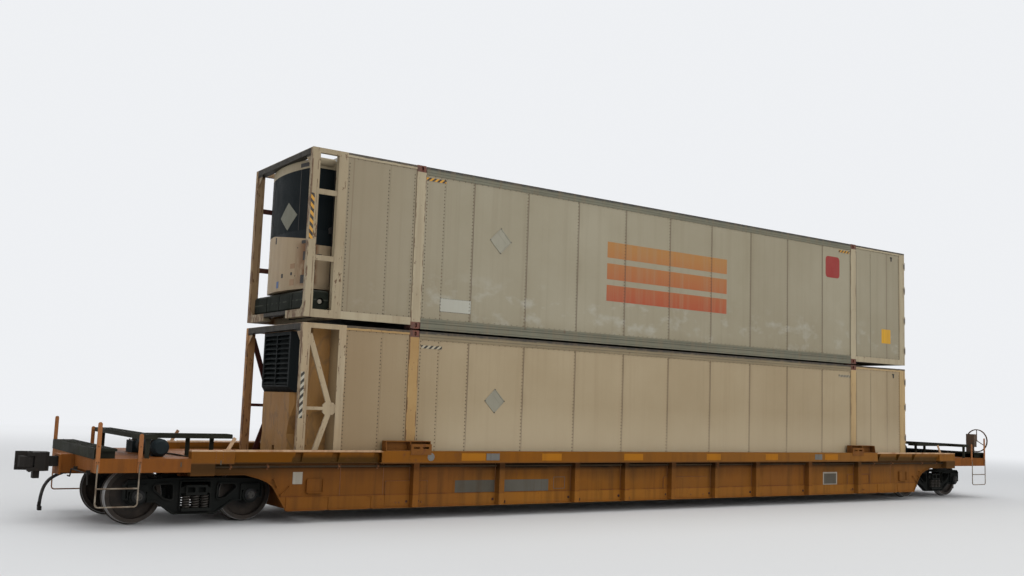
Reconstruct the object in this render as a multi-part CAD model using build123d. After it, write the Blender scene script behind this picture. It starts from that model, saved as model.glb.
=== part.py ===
from build123d import *
import math
import os

# Fifty-three foot single-unit well car with two insulated containers stacked in it.
# Lengths in millimetres. X runs along the car (door and hand brake end at +X), Y across it,
# Z up. The origin is on the centre line, halfway along, level with the wheel flanges' lowest
# points, so the top of the rail is FLANGE_H above it. End "a" is at -X and end "b" at +X.

# Clearances
FIT = 0.05            # radial clearance of a pin or journal in its bore
SEAT = 0.3            # gap between two pieces that rest on each other and turn
WELD = 12.0           # plate of the car body

# Wheelsets
WHEEL_R = 419.0       # tread radius
FLANGE_H = 25.0
WHEEL_BACK = 676.0    # back face of a wheel, from the centre line
RIM_W = 145.0
RIM_T = 66.0          # radial thickness of the rim
WEB_T = 26.0
HUB_R = 135.0
HUB_W = 178.0
SEAT_R = 105.0        # wheel seat on the axle
AXLE_MID_R = 88.0
GUARD_R = 95.0
JOURNAL_R = 82.5
CAP_R = 96.0
AXLE_Z = WHEEL_R + FLANGE_H

# Trucks
WHEELBASE = 1727.0
JOURNAL_Y = 1003.0    # centre plane of a side frame
CUP_R = 126.0         # bearing cup
CUP_W = 164.0
ADAPTER_T = 22.0
FRAME_W = 132.0       # side frame across
FRAME_RIM = 20.0      # thickness of the frame's edge flanges
FRAME_WEB = 44.0
FRAME_FOOT_Z = 165.0
FRAME_TOP_Z = 712.0
JAW_W = 270.0         # pedestal opening
SPRING_R = 62.0
SPRING_PITCH = 140.0
SPRING_SEAT_Z = 240.0
BOLSTER_UNDER_Z = 455.0
BOLSTER_END_Z = 605.0
BOLSTER_HALF_X = 165.0
BOLSTER_END_Y = 1128.0
COLUMN_X = 225.0      # half width of the window between the columns
BOWL_R = 182.3
BOWL_RIM_R = 215.0
BOWL_FLOOR_Z = 673.0
BOWL_DEPTH = 27.0
KINGPIN_R = 25.0
SIDE_BEARING_Y = 635.0
SIDE_BEARING_GAP = 6.0

# Containers
CONT_L = 16154.0
CONT_W = 2591.0
CONT_H = 2896.0
HALF_L = CONT_L / 2
HALF_W = CONT_W / 2
CONT_BASE = 325.0             # underside of the lower container
STACK_GAP = 30.0              # connector flange between the two containers
CONT_Z = (CONT_BASE, CONT_BASE + CONT_H + STACK_GAP)
WALL_T = 64.0
ROOF_T = 80.0
CORE_POST_X = 6096.0          # outer faces of the forty foot posts
CORE_POST_W = 190.0
CASTING = (178.0, 236.0, 118.0)
SLOT_L = 124.0
SLOT_R = 31.75
SLOT_Y = HALF_W - 166.0       # casting slots from the centre line
SLOT_X = CORE_POST_X - 103.5
NOSE_DEPTH = 647.0            # open frame ahead of the insulated box
NOSE_X = CONT_L / 2 - NOSE_DEPTH
NOSE_POST_W = 140.0
BOX_POST_W = 130.0
DOOR_T = 60.0
DOOR_PIN_R = 10.0
BARREL_R = 18.0
REAR_POST_X = CONT_L / 2 - 49.0      # outer face of the rear corner posts
DOOR_PIN_X = REAR_POST_X + 30.0
DOOR_PIN_Y = CONT_W / 2 - 22.5
DOOR_EDGE_Y = DOOR_PIN_Y - 83.0

# Well and car body
WELL_GAP = 25.6               # container end to bulkhead
WELL_HALF_X = CONT_L / 2 + WELL_GAP
TRUCK_X = WELL_HALF_X + 1472.4       # truck centre from the car's centre
SIDE_GAP = 54.5               # container side to side sheet
SHEET_Y = HALF_W + SIDE_GAP          # inner face of the side sheets
SILL_Y = SHEET_Y + 150.0             # outer face of chords and posts
SILL_FOOT_Z = 200.0
CHORD_Z = (945.0, 1150.0)
CHORD_WALL = 10.0
ARCH_Z = 770.0
ARCH_X = WELL_HALF_X + 125.4         # foot of the wheel arch
ARCH_TOP_X = ARCH_X + 702.0
SILL_END_X = TRUCK_X + 237.0
BOX_END_X = TRUCK_X - 121.0
DECK_Z = 1025.0
BEAM_Z = 825.0                # underside of the end deck's side beams
END_X = TRUCK_X + 1600.0
GUIDE_X = (CORE_POST_X - 406.0, CORE_POST_X + 464.0)
FLARE_X = (GUIDE_X[1] + 90.0, WELL_HALF_X + 1047.4)
PIPE_R = 17.0
PIPE_Y = SHEET_Y + 42.0
PIPE_Z = 895.0
POST_XS = (0.0, 1240.0, 2480.0, 4200.0, CORE_POST_X - 136.0)
POST_W = 110.0

# Couplers
COUPLER_Z = 901.0
SILL_HALF_W = 165.0
SILL_UNDER_Z = 737.0
STRIKER_X = END_X + 225.0
PULL_X = STRIKER_X + 450.0           # pulling face
COUPLER_PIN_X = STRIKER_X - 460.0
COUPLER_PIN_R = 40.0
SHANK_W = 130.0
SHANK_H = 150.0
HEAD_H = 280.0
KNUCKLE_PIN_R = 20.0

# Ladders and rods
ROD_R = 11.0


def block(x, y, z):
    """A box between three (low, high) pairs."""
    centre = Pos(sum(x) / 2, sum(y) / 2, sum(z) / 2)
    return centre * Box(x[1] - x[0], y[1] - y[0], z[1] - z[0])


def along_x(points, x):
    """An outline of (y, z) points, drawn out between two x values."""
    face = Plane.YZ.offset(x[0]) * Polygon(*points, align=None)
    return extrude(face, amount=x[1] - x[0], dir=(1, 0, 0))


def along_y(points, y):
    """An outline of (x, z) points, drawn out between two y values."""
    face = Plane.XZ.offset(-y[0]) * Polygon(*points, align=None)
    return extrude(face, amount=y[1] - y[0], dir=(0, 1, 0))


def along_z(points, z):
    """An outline of (x, y) points, drawn out between two z values."""
    face = Plane.XY.offset(z[0]) * Polygon(*points, align=None)
    return extrude(face, amount=z[1] - z[0], dir=(0, 0, 1))


def rod(start, end, radius):
    """A round bar from one point to another."""
    run = Vector(*end) - Vector(*start)
    return extrude(Plane(origin=start, z_dir=run) * Circle(radius), amount=run.length)


def bar(start, end, radius):
    """A thin eight-sided bar from one point to another."""
    run = Vector(*end) - Vector(*start)
    return extrude(Plane(origin=start, z_dir=run) * RegularPolygon(radius, 8), amount=run.length)


def bent_bar(points, radius, bend):
    """A thin eight-sided bar along straight runs joined by arcs."""
    path = FilletPolyline(*points, radius=bend)
    return sweep(Plane(origin=points[0], z_dir=path % 0) * RegularPolygon(radius, 8), path=path)


def strip(start, end, width, y):
    """A flat bar of the given width between two (x, z) points."""
    half = Vector(end[0] - start[0], end[1] - start[1]).normalized() * (width / 2)
    return along_y([(start[0] - half.Y, start[1] + half.X), (end[0] - half.Y, end[1] + half.X),
                    (end[0] + half.Y, end[1] - half.X), (start[0] + half.Y, start[1] - half.X)], y)


def cornered(x, z, cut):
    """The outline of a plate in x and z with its corners cut off."""
    return [(x[0], z[0] + cut), (x[0], z[1] - cut), (x[0] + cut, z[1]), (x[1] - cut, z[1]),
            (x[1], z[1] - cut), (x[1], z[0] + cut), (x[1] - cut, z[0]), (x[0] + cut, z[0])]


def far(shape):
    """The same piece on the other side of the car."""
    return mirror(shape, about=Plane.XZ)


def other_end(shape):
    """The same piece at the other end of the car."""
    return mirror(shape, about=Plane.YZ)


def both_sides(shape):
    return [shape, far(shape)]


def four_corners(shape):
    return [shape, far(shape), other_end(shape), other_end(far(shape))]


def joined(*shapes):
    whole = shapes[0]
    for shape in shapes[1:]:
        whole = whole + shape
    return whole


def save(name, *shapes):
    solids = [solid for shape in shapes for solid in shape.solids()]
    export_step(Compound(solids), "parts/" + name + ".step")


os.makedirs("parts", exist_ok=True)

# Wheelset, drawn about its own axle line: a rim with its flange, a sloping web and a hub.
tread_in = WHEEL_BACK + 34.0
rim_out = WHEEL_BACK + RIM_W
rim_r = WHEEL_R - RIM_T
web_rim_y = WHEEL_BACK + 62.0
web_hub_y = WHEEL_BACK + 100.0
wheel_outline = [
    (WHEEL_BACK, rim_r), (WHEEL_BACK, WHEEL_R + FLANGE_H - 12.0),
    (WHEEL_BACK + 9.0, WHEEL_R + FLANGE_H), (WHEEL_BACK + 21.0, WHEEL_R + FLANGE_H),
    (tread_in, WHEEL_R + 3.0), (rim_out, WHEEL_R - 3.0), (rim_out, rim_r),
    (web_rim_y + WEB_T, rim_r - 14.0), (web_hub_y + WEB_T, HUB_R + 20.0),
    (WHEEL_BACK + HUB_W, HUB_R), (WHEEL_BACK + HUB_W, SEAT_R + FIT),
    (WHEEL_BACK, SEAT_R + FIT), (WHEEL_BACK, HUB_R), (web_hub_y, HUB_R + 20.0),
    (web_rim_y, rim_r - 14.0),
]
wheel = revolve(Plane.YZ * Polygon(*wheel_outline, align=None), axis=Axis.Y)
cup_in = JOURNAL_Y - CUP_W / 2
cup_out = JOURNAL_Y + CUP_W / 2
end_gap = 4.0
axle_outline = [
    (0.0, 0.0), (0.0, AXLE_MID_R), (WHEEL_BACK - 90.0, AXLE_MID_R + 6.0),
    (WHEEL_BACK - 20.0, SEAT_R), (WHEEL_BACK + HUB_W + 12.0, SEAT_R),
    (WHEEL_BACK + HUB_W + 12.0, GUARD_R), (cup_in - end_gap, GUARD_R),
    (cup_in - end_gap, JOURNAL_R), (cup_out + end_gap, JOURNAL_R),
    (cup_out + end_gap, CAP_R), (cup_out + end_gap + 24.0, CAP_R),
    (cup_out + end_gap + 36.0, CAP_R - 30.0), (cup_out + end_gap + 36.0, 0.0),
]
half_axle = revolve(Plane.YZ * Polygon(*axle_outline, align=None), axis=Axis.Y)
axle = half_axle + far(half_axle)

# Side frame: one casting with pedestal jaws at both ends, a window for the spring nest and
# the bolster end, and a lightening window in each shoulder. Its rims stand proud of the web.
AXLE_DX = WHEELBASE / 2
jaw_in = AXLE_DX - JAW_W / 2
jaw_out = AXLE_DX + JAW_W / 2
jaw_roof = AXLE_Z + CUP_R + ADAPTER_T
half_outline = [
    (320.0, FRAME_FOOT_Z), (590.0, 352.0), (jaw_in, 352.0), (jaw_in, jaw_roof),
    (jaw_out, jaw_roof), (jaw_out, 396.0), (jaw_out + 62.0, 396.0),
    (jaw_out + 66.0, 632.0), (jaw_out + 10.0, 690.0), (700.0, 698.0), (360.0, FRAME_TOP_Z),
]
frame_outline = half_outline + [(-x, z) for x, z in reversed(half_outline)]
window = [(x, z) for x, z in
          ((COLUMN_X, SPRING_SEAT_Z), (COLUMN_X, 652.0), (-COLUMN_X, 652.0), (-COLUMN_X, SPRING_SEAT_Z))]
shoulder = [(352.0, 618.0), (610.0, 612.0), (640.0, 560.0), (470.0, 412.0), (340.0, 380.0)]
rim_face = Polygon(*frame_outline, align=None) - Polygon(*window, align=None)
for side in (1, -1):
    hole = Polygon(*[(side * x, z) for x, z in shoulder], align=None)
    rim_face -= fillet(hole.vertices(), 34.0)
pocket_face = offset(rim_face, amount=-FRAME_RIM)
frame_in = JOURNAL_Y - FRAME_W / 2
frame_out = JOURNAL_Y + FRAME_W / 2
side_frame = extrude(Plane.XZ.offset(-frame_out) * rim_face, amount=FRAME_W)
pocket = (FRAME_W - FRAME_WEB) / 2
side_frame -= extrude(Plane.XZ.offset(-frame_out) * pocket_face, amount=pocket)
side_frame -= extrude(Plane.XZ.offset(-(frame_in + pocket)) * pocket_face, amount=pocket)
seat_half_y = SPRING_PITCH
side_frame += block((-COLUMN_X, COLUMN_X), (JOURNAL_Y - seat_half_y, JOURNAL_Y + seat_half_y),
                    (SPRING_SEAT_Z - 25.0, SPRING_SEAT_Z))
SEAT_LIP = 22.0
SEAT_EDGE = 7.0
for x in (-COLUMN_X, COLUMN_X - 14.0):
    side_frame += block((x, x + 14.0), (JOURNAL_Y - seat_half_y, JOURNAL_Y + seat_half_y),
                        (SPRING_SEAT_Z, SPRING_SEAT_Z + SEAT_LIP))
for y in (JOURNAL_Y - seat_half_y, JOURNAL_Y + seat_half_y - SEAT_EDGE):
    side_frame += block((-COLUMN_X, COLUMN_X), (y, y + SEAT_EDGE),
                        (SPRING_SEAT_Z, SPRING_SEAT_Z + SEAT_LIP))
for side in (1, -1):
    x = side * AXLE_DX
    cup = Pos(x, JOURNAL_Y, AXLE_Z) * Rot(90, 0, 0) * Cylinder(CUP_R, CUP_W)
    saddle = block((x - JAW_W / 2, x + JAW_W / 2), (cup_in + 12.0, cup_out - 12.0),
                   (AXLE_Z + CUP_R * 0.55, jaw_roof))
    bore = Pos(x, JOURNAL_Y, AXLE_Z) * Rot(90, 0, 0) * Cylinder(JOURNAL_R + FIT, 2 * CUP_W)
    side_frame = joined(side_frame, cup, saddle) - bore

# Truck bolster: a beam that deepens to the middle, with the centre bowl, side bearings and
# friction wedges. Its ends rest on the spring nests.
half_beam = [
    (0.0, 350.0), (330.0, 360.0), (760.0, 440.0), (820.0, BOLSTER_UNDER_Z),
    (BOLSTER_END_Y, BOLSTER_UNDER_Z), (BOLSTER_END_Y, BOLSTER_END_Z),
    (760.0, BOLSTER_END_Z + 8.0), (300.0, 650.0), (0.0, 650.0),
]
half_bolster = along_x(half_beam, (-BOLSTER_HALF_X, BOLSTER_HALF_X))
for side in (1, -1):
    x = side * BOLSTER_HALF_X / 2
    half_bolster -= block((x - 56.0, x + 56.0), (BOLSTER_END_Y - 90.0, BOLSTER_END_Y + 1.0),
                          (BOLSTER_UNDER_Z + 40.0, BOLSTER_END_Z - 34.0))
    wedge = [(side * BOLSTER_HALF_X, 480.0), (side * (COLUMN_X - SEAT), 480.0),
             (side * (COLUMN_X - SEAT), 560.0), (side * BOLSTER_HALF_X, 596.0)]
    half_bolster += along_y(wedge, (frame_in, frame_out))
bearing_top = BOWL_FLOOR_Z + BOWL_DEPTH
half_bolster += block((-120.0, 120.0), (SIDE_BEARING_Y - 50.0, SIDE_BEARING_Y + 50.0),
                      (600.0, bearing_top))
bowl = Pos(0, 0, (640.0 + bearing_top) / 2) * Cylinder(BOWL_RIM_R, bearing_top - 640.0)
bolster = joined(half_bolster, far(half_bolster), bowl)
bolster -= Pos(0, 0, BOWL_FLOOR_Z + BOWL_DEPTH) * Cylinder(BOWL_R, 2 * BOWL_DEPTH)
bolster -= Pos(0, 0, BOWL_FLOOR_Z) * Cylinder(KINGPIN_R + FIT, 240.0)

# Spring nest under one bolster end
springs = [Pos(dx, JOURNAL_Y + dy, (SPRING_SEAT_Z + BOLSTER_UNDER_Z) / 2)
           * Cylinder(SPRING_R, BOLSTER_UNDER_Z - SPRING_SEAT_Z)
           for dx in (-SPRING_PITCH, 0.0, SPRING_PITCH) for dy in (-SPRING_PITCH / 2, SPRING_PITCH / 2)]

# Brake beam: a bar between the side frames with a strut and a tension bar, and a curved shoe
# on a head in front of each wheel.
SHOE_GAP = 6.0
SHOE_T = 46.0
SHOE_Z = AXLE_Z - 34.0
shoe_x = AXLE_DX - WHEEL_R - SHOE_GAP
shoe_y = (WHEEL_BACK + 38.0, WHEEL_BACK + RIM_W - 12.0)
beam_x = (shoe_x - SHOE_T - 66.0, shoe_x - SHOE_T - 16.0)
shoe = block((shoe_x - SHOE_T - 20.0, shoe_x + 40.0), shoe_y, (SHOE_Z - 150.0, SHOE_Z + 150.0))
shoe -= Pos(AXLE_DX, sum(shoe_y) / 2, AXLE_Z) * Rot(90, 0, 0) * Cylinder(WHEEL_R + SHOE_GAP, 200.0)
half_brake = joined(block(beam_x, (0.0, frame_in - SEAT), (SHOE_Z - 30.0, SHOE_Z + 30.0)), shoe)
strut_tip = 196.0
half_brake += along_z([(beam_x[0], shoe_y[0]), (beam_x[0], shoe_y[0] - 60.0),
                       (strut_tip, 0.0), (strut_tip - 24.0, 0.0)], (SHOE_Z - 16.0, SHOE_Z + 16.0))
half_brake += block((strut_tip, beam_x[0]), (0.0, 22.0), (SHOE_Z - 28.0, SHOE_Z + 28.0))
brake_beam = half_brake + far(half_brake)

for end, sign in (("a", -1), ("b", 1)):
    place = Pos(sign * TRUCK_X, 0, 0)
    save("side_frames_" + end, *[place * s for s in both_sides(side_frame)])
    save("truck_bolster_" + end, place * bolster)
    save("springs_" + end, *[place * s for spring in springs for s in both_sides(spring)])
    save("brake_beams_" + end, place * brake_beam, place * other_end(brake_beam))
    for number, dx in ((1, -AXLE_DX), (2, AXLE_DX)):
        spot = Pos(sign * TRUCK_X + dx, 0, AXLE_Z)
        save("wheelset_" + end + str(number), spot * wheel, spot * far(wheel), spot * axle)

# Side sills: a deep sheet with an arch over each truck, a proud lower chord, a flange round
# the arch, channel posts and a closed box at each end that steps down to the end deck.
arch = [(ARCH_X, SILL_FOOT_Z), (ARCH_X + 247.0, 585.0), (ARCH_X + 332.0, 650.0),
        (ARCH_X + 462.0, 705.0), (ARCH_TOP_X, ARCH_Z)]
half_sheet = [(0.0, SILL_FOOT_Z)] + arch + [(SILL_END_X, ARCH_Z), (SILL_END_X, CHORD_Z[0]),
                                            (0.0, CHORD_Z[0])]
sheet = along_y(half_sheet, (SHEET_Y, SHEET_Y + WELD))
LOWER_CHORD_H = 220.0
LIP_Y = SHEET_Y + 66.0
chord_foot = [(SHEET_Y + WELD, SILL_FOOT_Z), (LIP_Y, SILL_FOOT_Z), (LIP_Y, SILL_FOOT_Z + WELD),
              (SHEET_Y + 2 * WELD, SILL_FOOT_Z + WELD), (SHEET_Y + 2 * WELD, SILL_FOOT_Z + LOWER_CHORD_H),
              (SHEET_Y + WELD, SILL_FOOT_Z + LOWER_CHORD_H)]
half_sill = sheet + along_x(chord_foot, (0.0, ARCH_X))
flange_in = arch + [(SILL_END_X, ARCH_Z)]
flange_out = [(SILL_END_X, ARCH_Z + WELD), (ARCH_TOP_X - 3.0, ARCH_Z + WELD), (ARCH_X + 456.0, 716.0),
              (ARCH_X + 324.0, 660.0), (ARCH_X + 237.0, 592.0), (ARCH_X - 14.0, SILL_FOOT_Z)]
half_sill += along_y(flange_in + flange_out, (SHEET_Y + WELD, SHEET_Y + 46.0))
half_sill += block((BOX_END_X, SILL_END_X), (SHEET_Y + WELD, SILL_Y), (ARCH_Z, CHORD_Z[0]))
half_sill += block((BOX_END_X - WELD, BOX_END_X), (SHEET_Y + WELD, SILL_Y), (ARCH_Z + WELD, CHORD_Z[0]))
# Hand bars beside the arch, a shallow pan on the sheet, and slots where the lower chord's
# plates meet.
BAR_R = 10.0
BAR_OUT = 34.0
bar_y = SHEET_Y + WELD + BAR_OUT
for start, end in (((ARCH_X + 227.0, 690.0), (ARCH_X + 170.0, 580.0)),
                   ((ARCH_X + 96.0, 455.0), (ARCH_X - 40.0, 580.0))):
    half_sill += bar((start[0], bar_y, start[1]), (end[0], bar_y, end[1]), BAR_R)
    for x, z in (start, end):
        half_sill += block((x - BAR_R, x + BAR_R), (SHEET_Y + WELD, bar_y + BAR_R), (z - BAR_R, z + BAR_R))
PAN_X = (WELL_HALF_X - 488.0, WELL_HALF_X - 198.0)
PAN_Z = (470.0, 700.0)
PAN_OUT = 50.0
PAN_LIP = 14.0
half_sill += along_y(cornered(PAN_X, PAN_Z, 24.0), (SHEET_Y + WELD, SHEET_Y + WELD + PAN_OUT))
half_sill -= block((PAN_X[0] + PAN_LIP, PAN_X[1] - PAN_LIP), (SHEET_Y + 3 * WELD, SHEET_Y + WELD + PAN_OUT),
                   (PAN_Z[0] + PAN_LIP, PAN_Z[1] + 1.0))
CHORD_SLOTS = (CORE_POST_X + 674.0, WELL_HALF_X - 560.0)
SLOT_W = 84.0
for x in CHORD_SLOTS:
    half_sill -= block((x - SLOT_W / 2, x + SLOT_W / 2), (SHEET_Y + WELD, LIP_Y),
                       (SILL_FOOT_Z, SILL_FOOT_Z + LOWER_CHORD_H - 20.0))
sill = half_sill + other_end(half_sill)
# Doubler plates that lap the sheet and the lower chord
DOUBLER_Z = (SILL_FOOT_Z + 30.0, 645.0)
DOUBLER_XS = ((-CORE_POST_X - 386.0, -CORE_POST_X + 428.0), (-166.0, 1059.0))
DOUBLER_OUT = 6.0
for span in DOUBLER_XS:
    sill += along_y(cornered(span, DOUBLER_Z, 26.0), (SHEET_Y + WELD, SHEET_Y + 2 * WELD + DOUBLER_OUT))
for x in sorted({s * x for x in POST_XS for s in (1, -1)}):
    outer = (x - POST_W / 2, x + POST_W / 2)
    post = block(outer, (SHEET_Y + WELD, SILL_Y), (SILL_FOOT_Z + WELD, CHORD_Z[0]))
    post -= block((outer[0] + CHORD_WALL, outer[1] - CHORD_WALL), (SHEET_Y + WELD, SILL_Y - CHORD_WALL),
                  (SILL_FOOT_Z + WELD, CHORD_Z[0]))
    sill += post
pipe_run = (-BOX_END_X + WELD, BOX_END_X - WELD)
pipe_hole = PIPE_R + SEAT
sill -= block(pipe_run, (PIPE_Y - pipe_hole, PIPE_Y + pipe_hole), (PIPE_Z - pipe_hole, PIPE_Z + pipe_hole))
save("side_sills", *both_sides(sill))
save("brake_pipe", far(rod((pipe_run[0], PIPE_Y, PIPE_Z), (pipe_run[1], PIPE_Y, PIPE_Z), PIPE_R)))

# Top chords: a square tube along the middle, a flared tube with the outer face leaning in
# beside the container ends, and a closed box where the chord ends.
tube = [(SHEET_Y, CHORD_Z[0]), (SILL_Y, CHORD_Z[0]), (SILL_Y, CHORD_Z[1]), (SHEET_Y, CHORD_Z[1])]
bore = [(SHEET_Y + CHORD_WALL, CHORD_Z[0] + CHORD_WALL), (SILL_Y - CHORD_WALL, CHORD_Z[0] + CHORD_WALL),
        (SILL_Y - CHORD_WALL, CHORD_Z[1] - CHORD_WALL), (SHEET_Y + CHORD_WALL, CHORD_Z[1] - CHORD_WALL)]
FLARE_FOOT_Y = SHEET_Y + 54.0
FLARE_LIP = 14.0
flare = [(SHEET_Y, CHORD_Z[0]), (FLARE_FOOT_Y, CHORD_Z[0]), (SILL_Y, CHORD_Z[1] - FLARE_LIP),
         (SILL_Y, CHORD_Z[1] + FLARE_LIP), (SHEET_Y, CHORD_Z[1])]
half_chord = along_x(tube, (0.0, FLARE_X[0])) - along_x(bore, (0.0, FLARE_X[0] - CHORD_WALL))
half_chord += along_x(flare, FLARE_X)
half_chord += along_x(tube, (FLARE_X[1], SILL_END_X))
half_chord -= along_x(bore, (FLARE_X[1] + CHORD_WALL, SILL_END_X - CHORD_WALL))
JOINT_W = 135.0
JOINT_XS = (FLARE_X[0] + 50.0, FLARE_X[0] + 805.0, WELL_HALF_X - 10.0)
for x in JOINT_XS:
    half_chord -= block((x - JOINT_W / 2, x + JOINT_W / 2), (SHEET_Y + 44.0, SILL_Y),
                        (CHORD_Z[0] + 22.0, CHORD_Z[1] - 2 * FLARE_LIP))
BRACE_X = (FLARE_X[1] + 105.0, FLARE_X[1] - 5.0)
BRACE_TOP = CHORD_Z[1] + 190.0
half_chord += strip((BRACE_X[0], CHORD_Z[1] - 4.0), (BRACE_X[1], BRACE_TOP), 52.0,
                    (SILL_Y - 58.0, SILL_Y - 38.0))
half_chord += block((BRACE_X[0] - 60.0, BRACE_X[0] + 60.0), (SILL_Y - 90.0, SILL_Y - 12.0),
                    (CHORD_Z[1], CHORD_Z[1] + 10.0))
chord = half_chord + other_end(half_chord)
save("top_chords", *both_sides(chord))

# Container guides on the top chords beside the forty foot posts: an outward-facing channel
# with closed ends, and a slotted bracket that reaches down the chord's face.
GUIDE_H = 170.0
GUIDE_Y = SHEET_Y - 8.0
guide_z = (CHORD_Z[1], CHORD_Z[1] + GUIDE_H)
guide_section = [(GUIDE_Y, guide_z[0]), (SILL_Y, guide_z[0]), (SILL_Y, guide_z[0] + WELD),
                 (GUIDE_Y + WELD, guide_z[0] + WELD), (GUIDE_Y + WELD, guide_z[1] - WELD),
                 (SILL_Y - 30.0, guide_z[1] - WELD), (SILL_Y - 30.0, guide_z[1]), (GUIDE_Y, guide_z[1])]
guide = along_x(guide_section, GUIDE_X)
for x in (GUIDE_X[0], GUIDE_X[0] + 390.0, GUIDE_X[1] - WELD):
    guide += along_x([(GUIDE_Y + WELD, guide_z[0]), (SILL_Y, guide_z[0]), (SILL_Y - 30.0, guide_z[1]),
                      (GUIDE_Y + WELD, guide_z[1])], (x, x + WELD))
bracket = block((GUIDE_X[0], GUIDE_X[0] + 402.0), (SILL_Y, SILL_Y + WELD),
                (CHORD_Z[1] - 60.0, guide_z[0] + 120.0))
for x in (GUIDE_X[0] + 110.0, GUIDE_X[0] + 290.0):
    bracket -= block((x - 60.0, x + 60.0), (SILL_Y, SILL_Y + WELD), (guide_z[0] + 40.0, guide_z[0] + 74.0))
save("container_guides", *four_corners(guide + bracket))

# Well floor: channel cross-bearers between the side sheets, diagonal straps under them and
# pads where the containers' corners stand.
BEARER_W = 150.0
BEARER_TOP = CONT_Z[0] - 18.0
PAD_W = 190.0
PAD_Y = SHEET_Y - 290.0
BEARER_END_X = WELL_HALF_X - 152.6
STRAP_W = 90.0
STRAP_INSET = 60.0
bearer_z = (SILL_FOOT_Z, BEARER_TOP)
bearer_xs = sorted({s * x for x in POST_XS + (BEARER_END_X,) for s in (1, -1)})
floor_pieces = []
for x in bearer_xs:
    bearer = block((x - BEARER_W / 2, x + BEARER_W / 2), (-SHEET_Y, SHEET_Y), bearer_z)
    bearer -= block((x - BEARER_W / 2 + WELD, x + BEARER_W / 2 - WELD), (-SHEET_Y, SHEET_Y),
                    (bearer_z[0], bearer_z[1] - WELD))
    for pad_x in (CORE_POST_X - PAD_W, BEARER_END_X - PAD_W / 2):
        if pad_x < abs(x) < pad_x + PAD_W:
            low = pad_x if x > 0 else -pad_x - PAD_W
            pad = block((low, low + PAD_W), (PAD_Y, SHEET_Y), (BEARER_TOP, CONT_Z[0]))
            bearer = joined(bearer, pad, far(pad))
    floor_pieces.append(bearer)
for x0, x1 in zip(bearer_xs[:-1], bearer_xs[1:]):
    reach = SHEET_Y - STRAP_INSET
    left, right = x0 - STRAP_W / 4, x1 + STRAP_W / 4
    strap = along_z([(left + STRAP_W / 2, reach), (left + STRAP_W, reach), (right - STRAP_W / 2, -reach),
                     (right - STRAP_W, -reach)], (SILL_FOOT_Z - WELD, SILL_FOOT_Z))
    floor_pieces.append(strap + far(strap))
save("well_floor", *floor_pieces)

# End bulkheads close the well, and the stub sills with their body bolsters carry the
# centre plates, the coupler carriers and the end decks.
bulkhead = block((WELL_HALF_X, WELL_HALF_X + WELD), (-SHEET_Y, SHEET_Y), (SILL_FOOT_Z, DECK_Z))
save("end_bulkheads", bulkhead, other_end(bulkhead))

sill_x = (WELL_HALF_X + WELD, STRIKER_X)
deck_under = DECK_Z - WELD
stub = block(sill_x, (-SILL_HALF_W, SILL_HALF_W), (SILL_UNDER_Z, deck_under))
stub -= block(sill_x, (-SILL_HALF_W + WELD, SILL_HALF_W - WELD), (SILL_UNDER_Z, deck_under - WELD))
wrap = [(-SILL_HALF_W - 40.0, SILL_UNDER_Z), (SILL_HALF_W + 40.0, SILL_UNDER_Z),
        (SILL_HALF_W + 40.0, SILL_UNDER_Z + WELD), (-SILL_HALF_W - 40.0, SILL_UNDER_Z + WELD)]
floor_plate = along_x(wrap, (sill_x[0], COUPLER_PIN_X - 300.0))
BOLSTER_X = (TRUCK_X - 200.0, TRUCK_X + 200.0)
arm = [(SILL_HALF_W, SILL_UNDER_Z + WELD), (SHEET_Y, BEAM_Z - 25.0), (SHEET_Y, deck_under),
       (SILL_HALF_W, deck_under)]
hollow = [(SILL_HALF_W, SILL_UNDER_Z + 2 * WELD), (SHEET_Y, BEAM_Z - 25.0 + WELD),
          (SHEET_Y, deck_under - WELD), (SILL_HALF_W, deck_under - WELD)]
body_bolster = along_x(arm, BOLSTER_X) - along_x(hollow, (BOLSTER_X[0] + WELD, BOLSTER_X[1] - WELD))
bearing_plate_z = bearing_top + SIDE_BEARING_GAP
wear = block((TRUCK_X - 150.0, TRUCK_X + 150.0), (SIDE_BEARING_Y - 70.0, SIDE_BEARING_Y + 70.0),
             (bearing_plate_z, SILL_UNDER_Z + 48.0))
plate_z = (BOWL_FLOOR_Z + SEAT, SILL_UNDER_Z + WELD)
centre_plate = Pos(TRUCK_X, 0, sum(plate_z) / 2) * Cylinder(BOWL_R - SEAT, plate_z[1] - plate_z[0])
kingpin_z = (BOWL_FLOOR_Z - 90.0, SILL_UNDER_Z + WELD)
kingpin = Pos(TRUCK_X, 0, sum(kingpin_z) / 2) * Cylinder(KINGPIN_R, kingpin_z[1] - kingpin_z[0])
carrier_z = COUPLER_Z - SHANK_H / 2 - SEAT
carrier = block((STRIKER_X - 120.0, STRIKER_X), (-SILL_HALF_W, SILL_HALF_W), (SILL_UNDER_Z, carrier_z))
draft_pin = Pos(COUPLER_PIN_X, 0, (SILL_UNDER_Z + deck_under) / 2) * Cylinder(COUPLER_PIN_R,
                                                                              deck_under - SILL_UNDER_Z)
pin_plate = block((COUPLER_PIN_X - 150.0, COUPLER_PIN_X + 110.0), (-SILL_HALF_W, SILL_HALF_W),
                  (SILL_UNDER_Z, SILL_UNDER_Z + 40.0))
striker = block((STRIKER_X - 30.0, STRIKER_X), (-SILL_HALF_W - 60.0, SILL_HALF_W + 60.0),
                (SILL_UNDER_Z - 20.0, deck_under))
striker -= block((STRIKER_X - 30.0, STRIKER_X), (-SILL_HALF_W + WELD, SILL_HALF_W - WELD),
                 (carrier_z, deck_under - 30.0))
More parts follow.
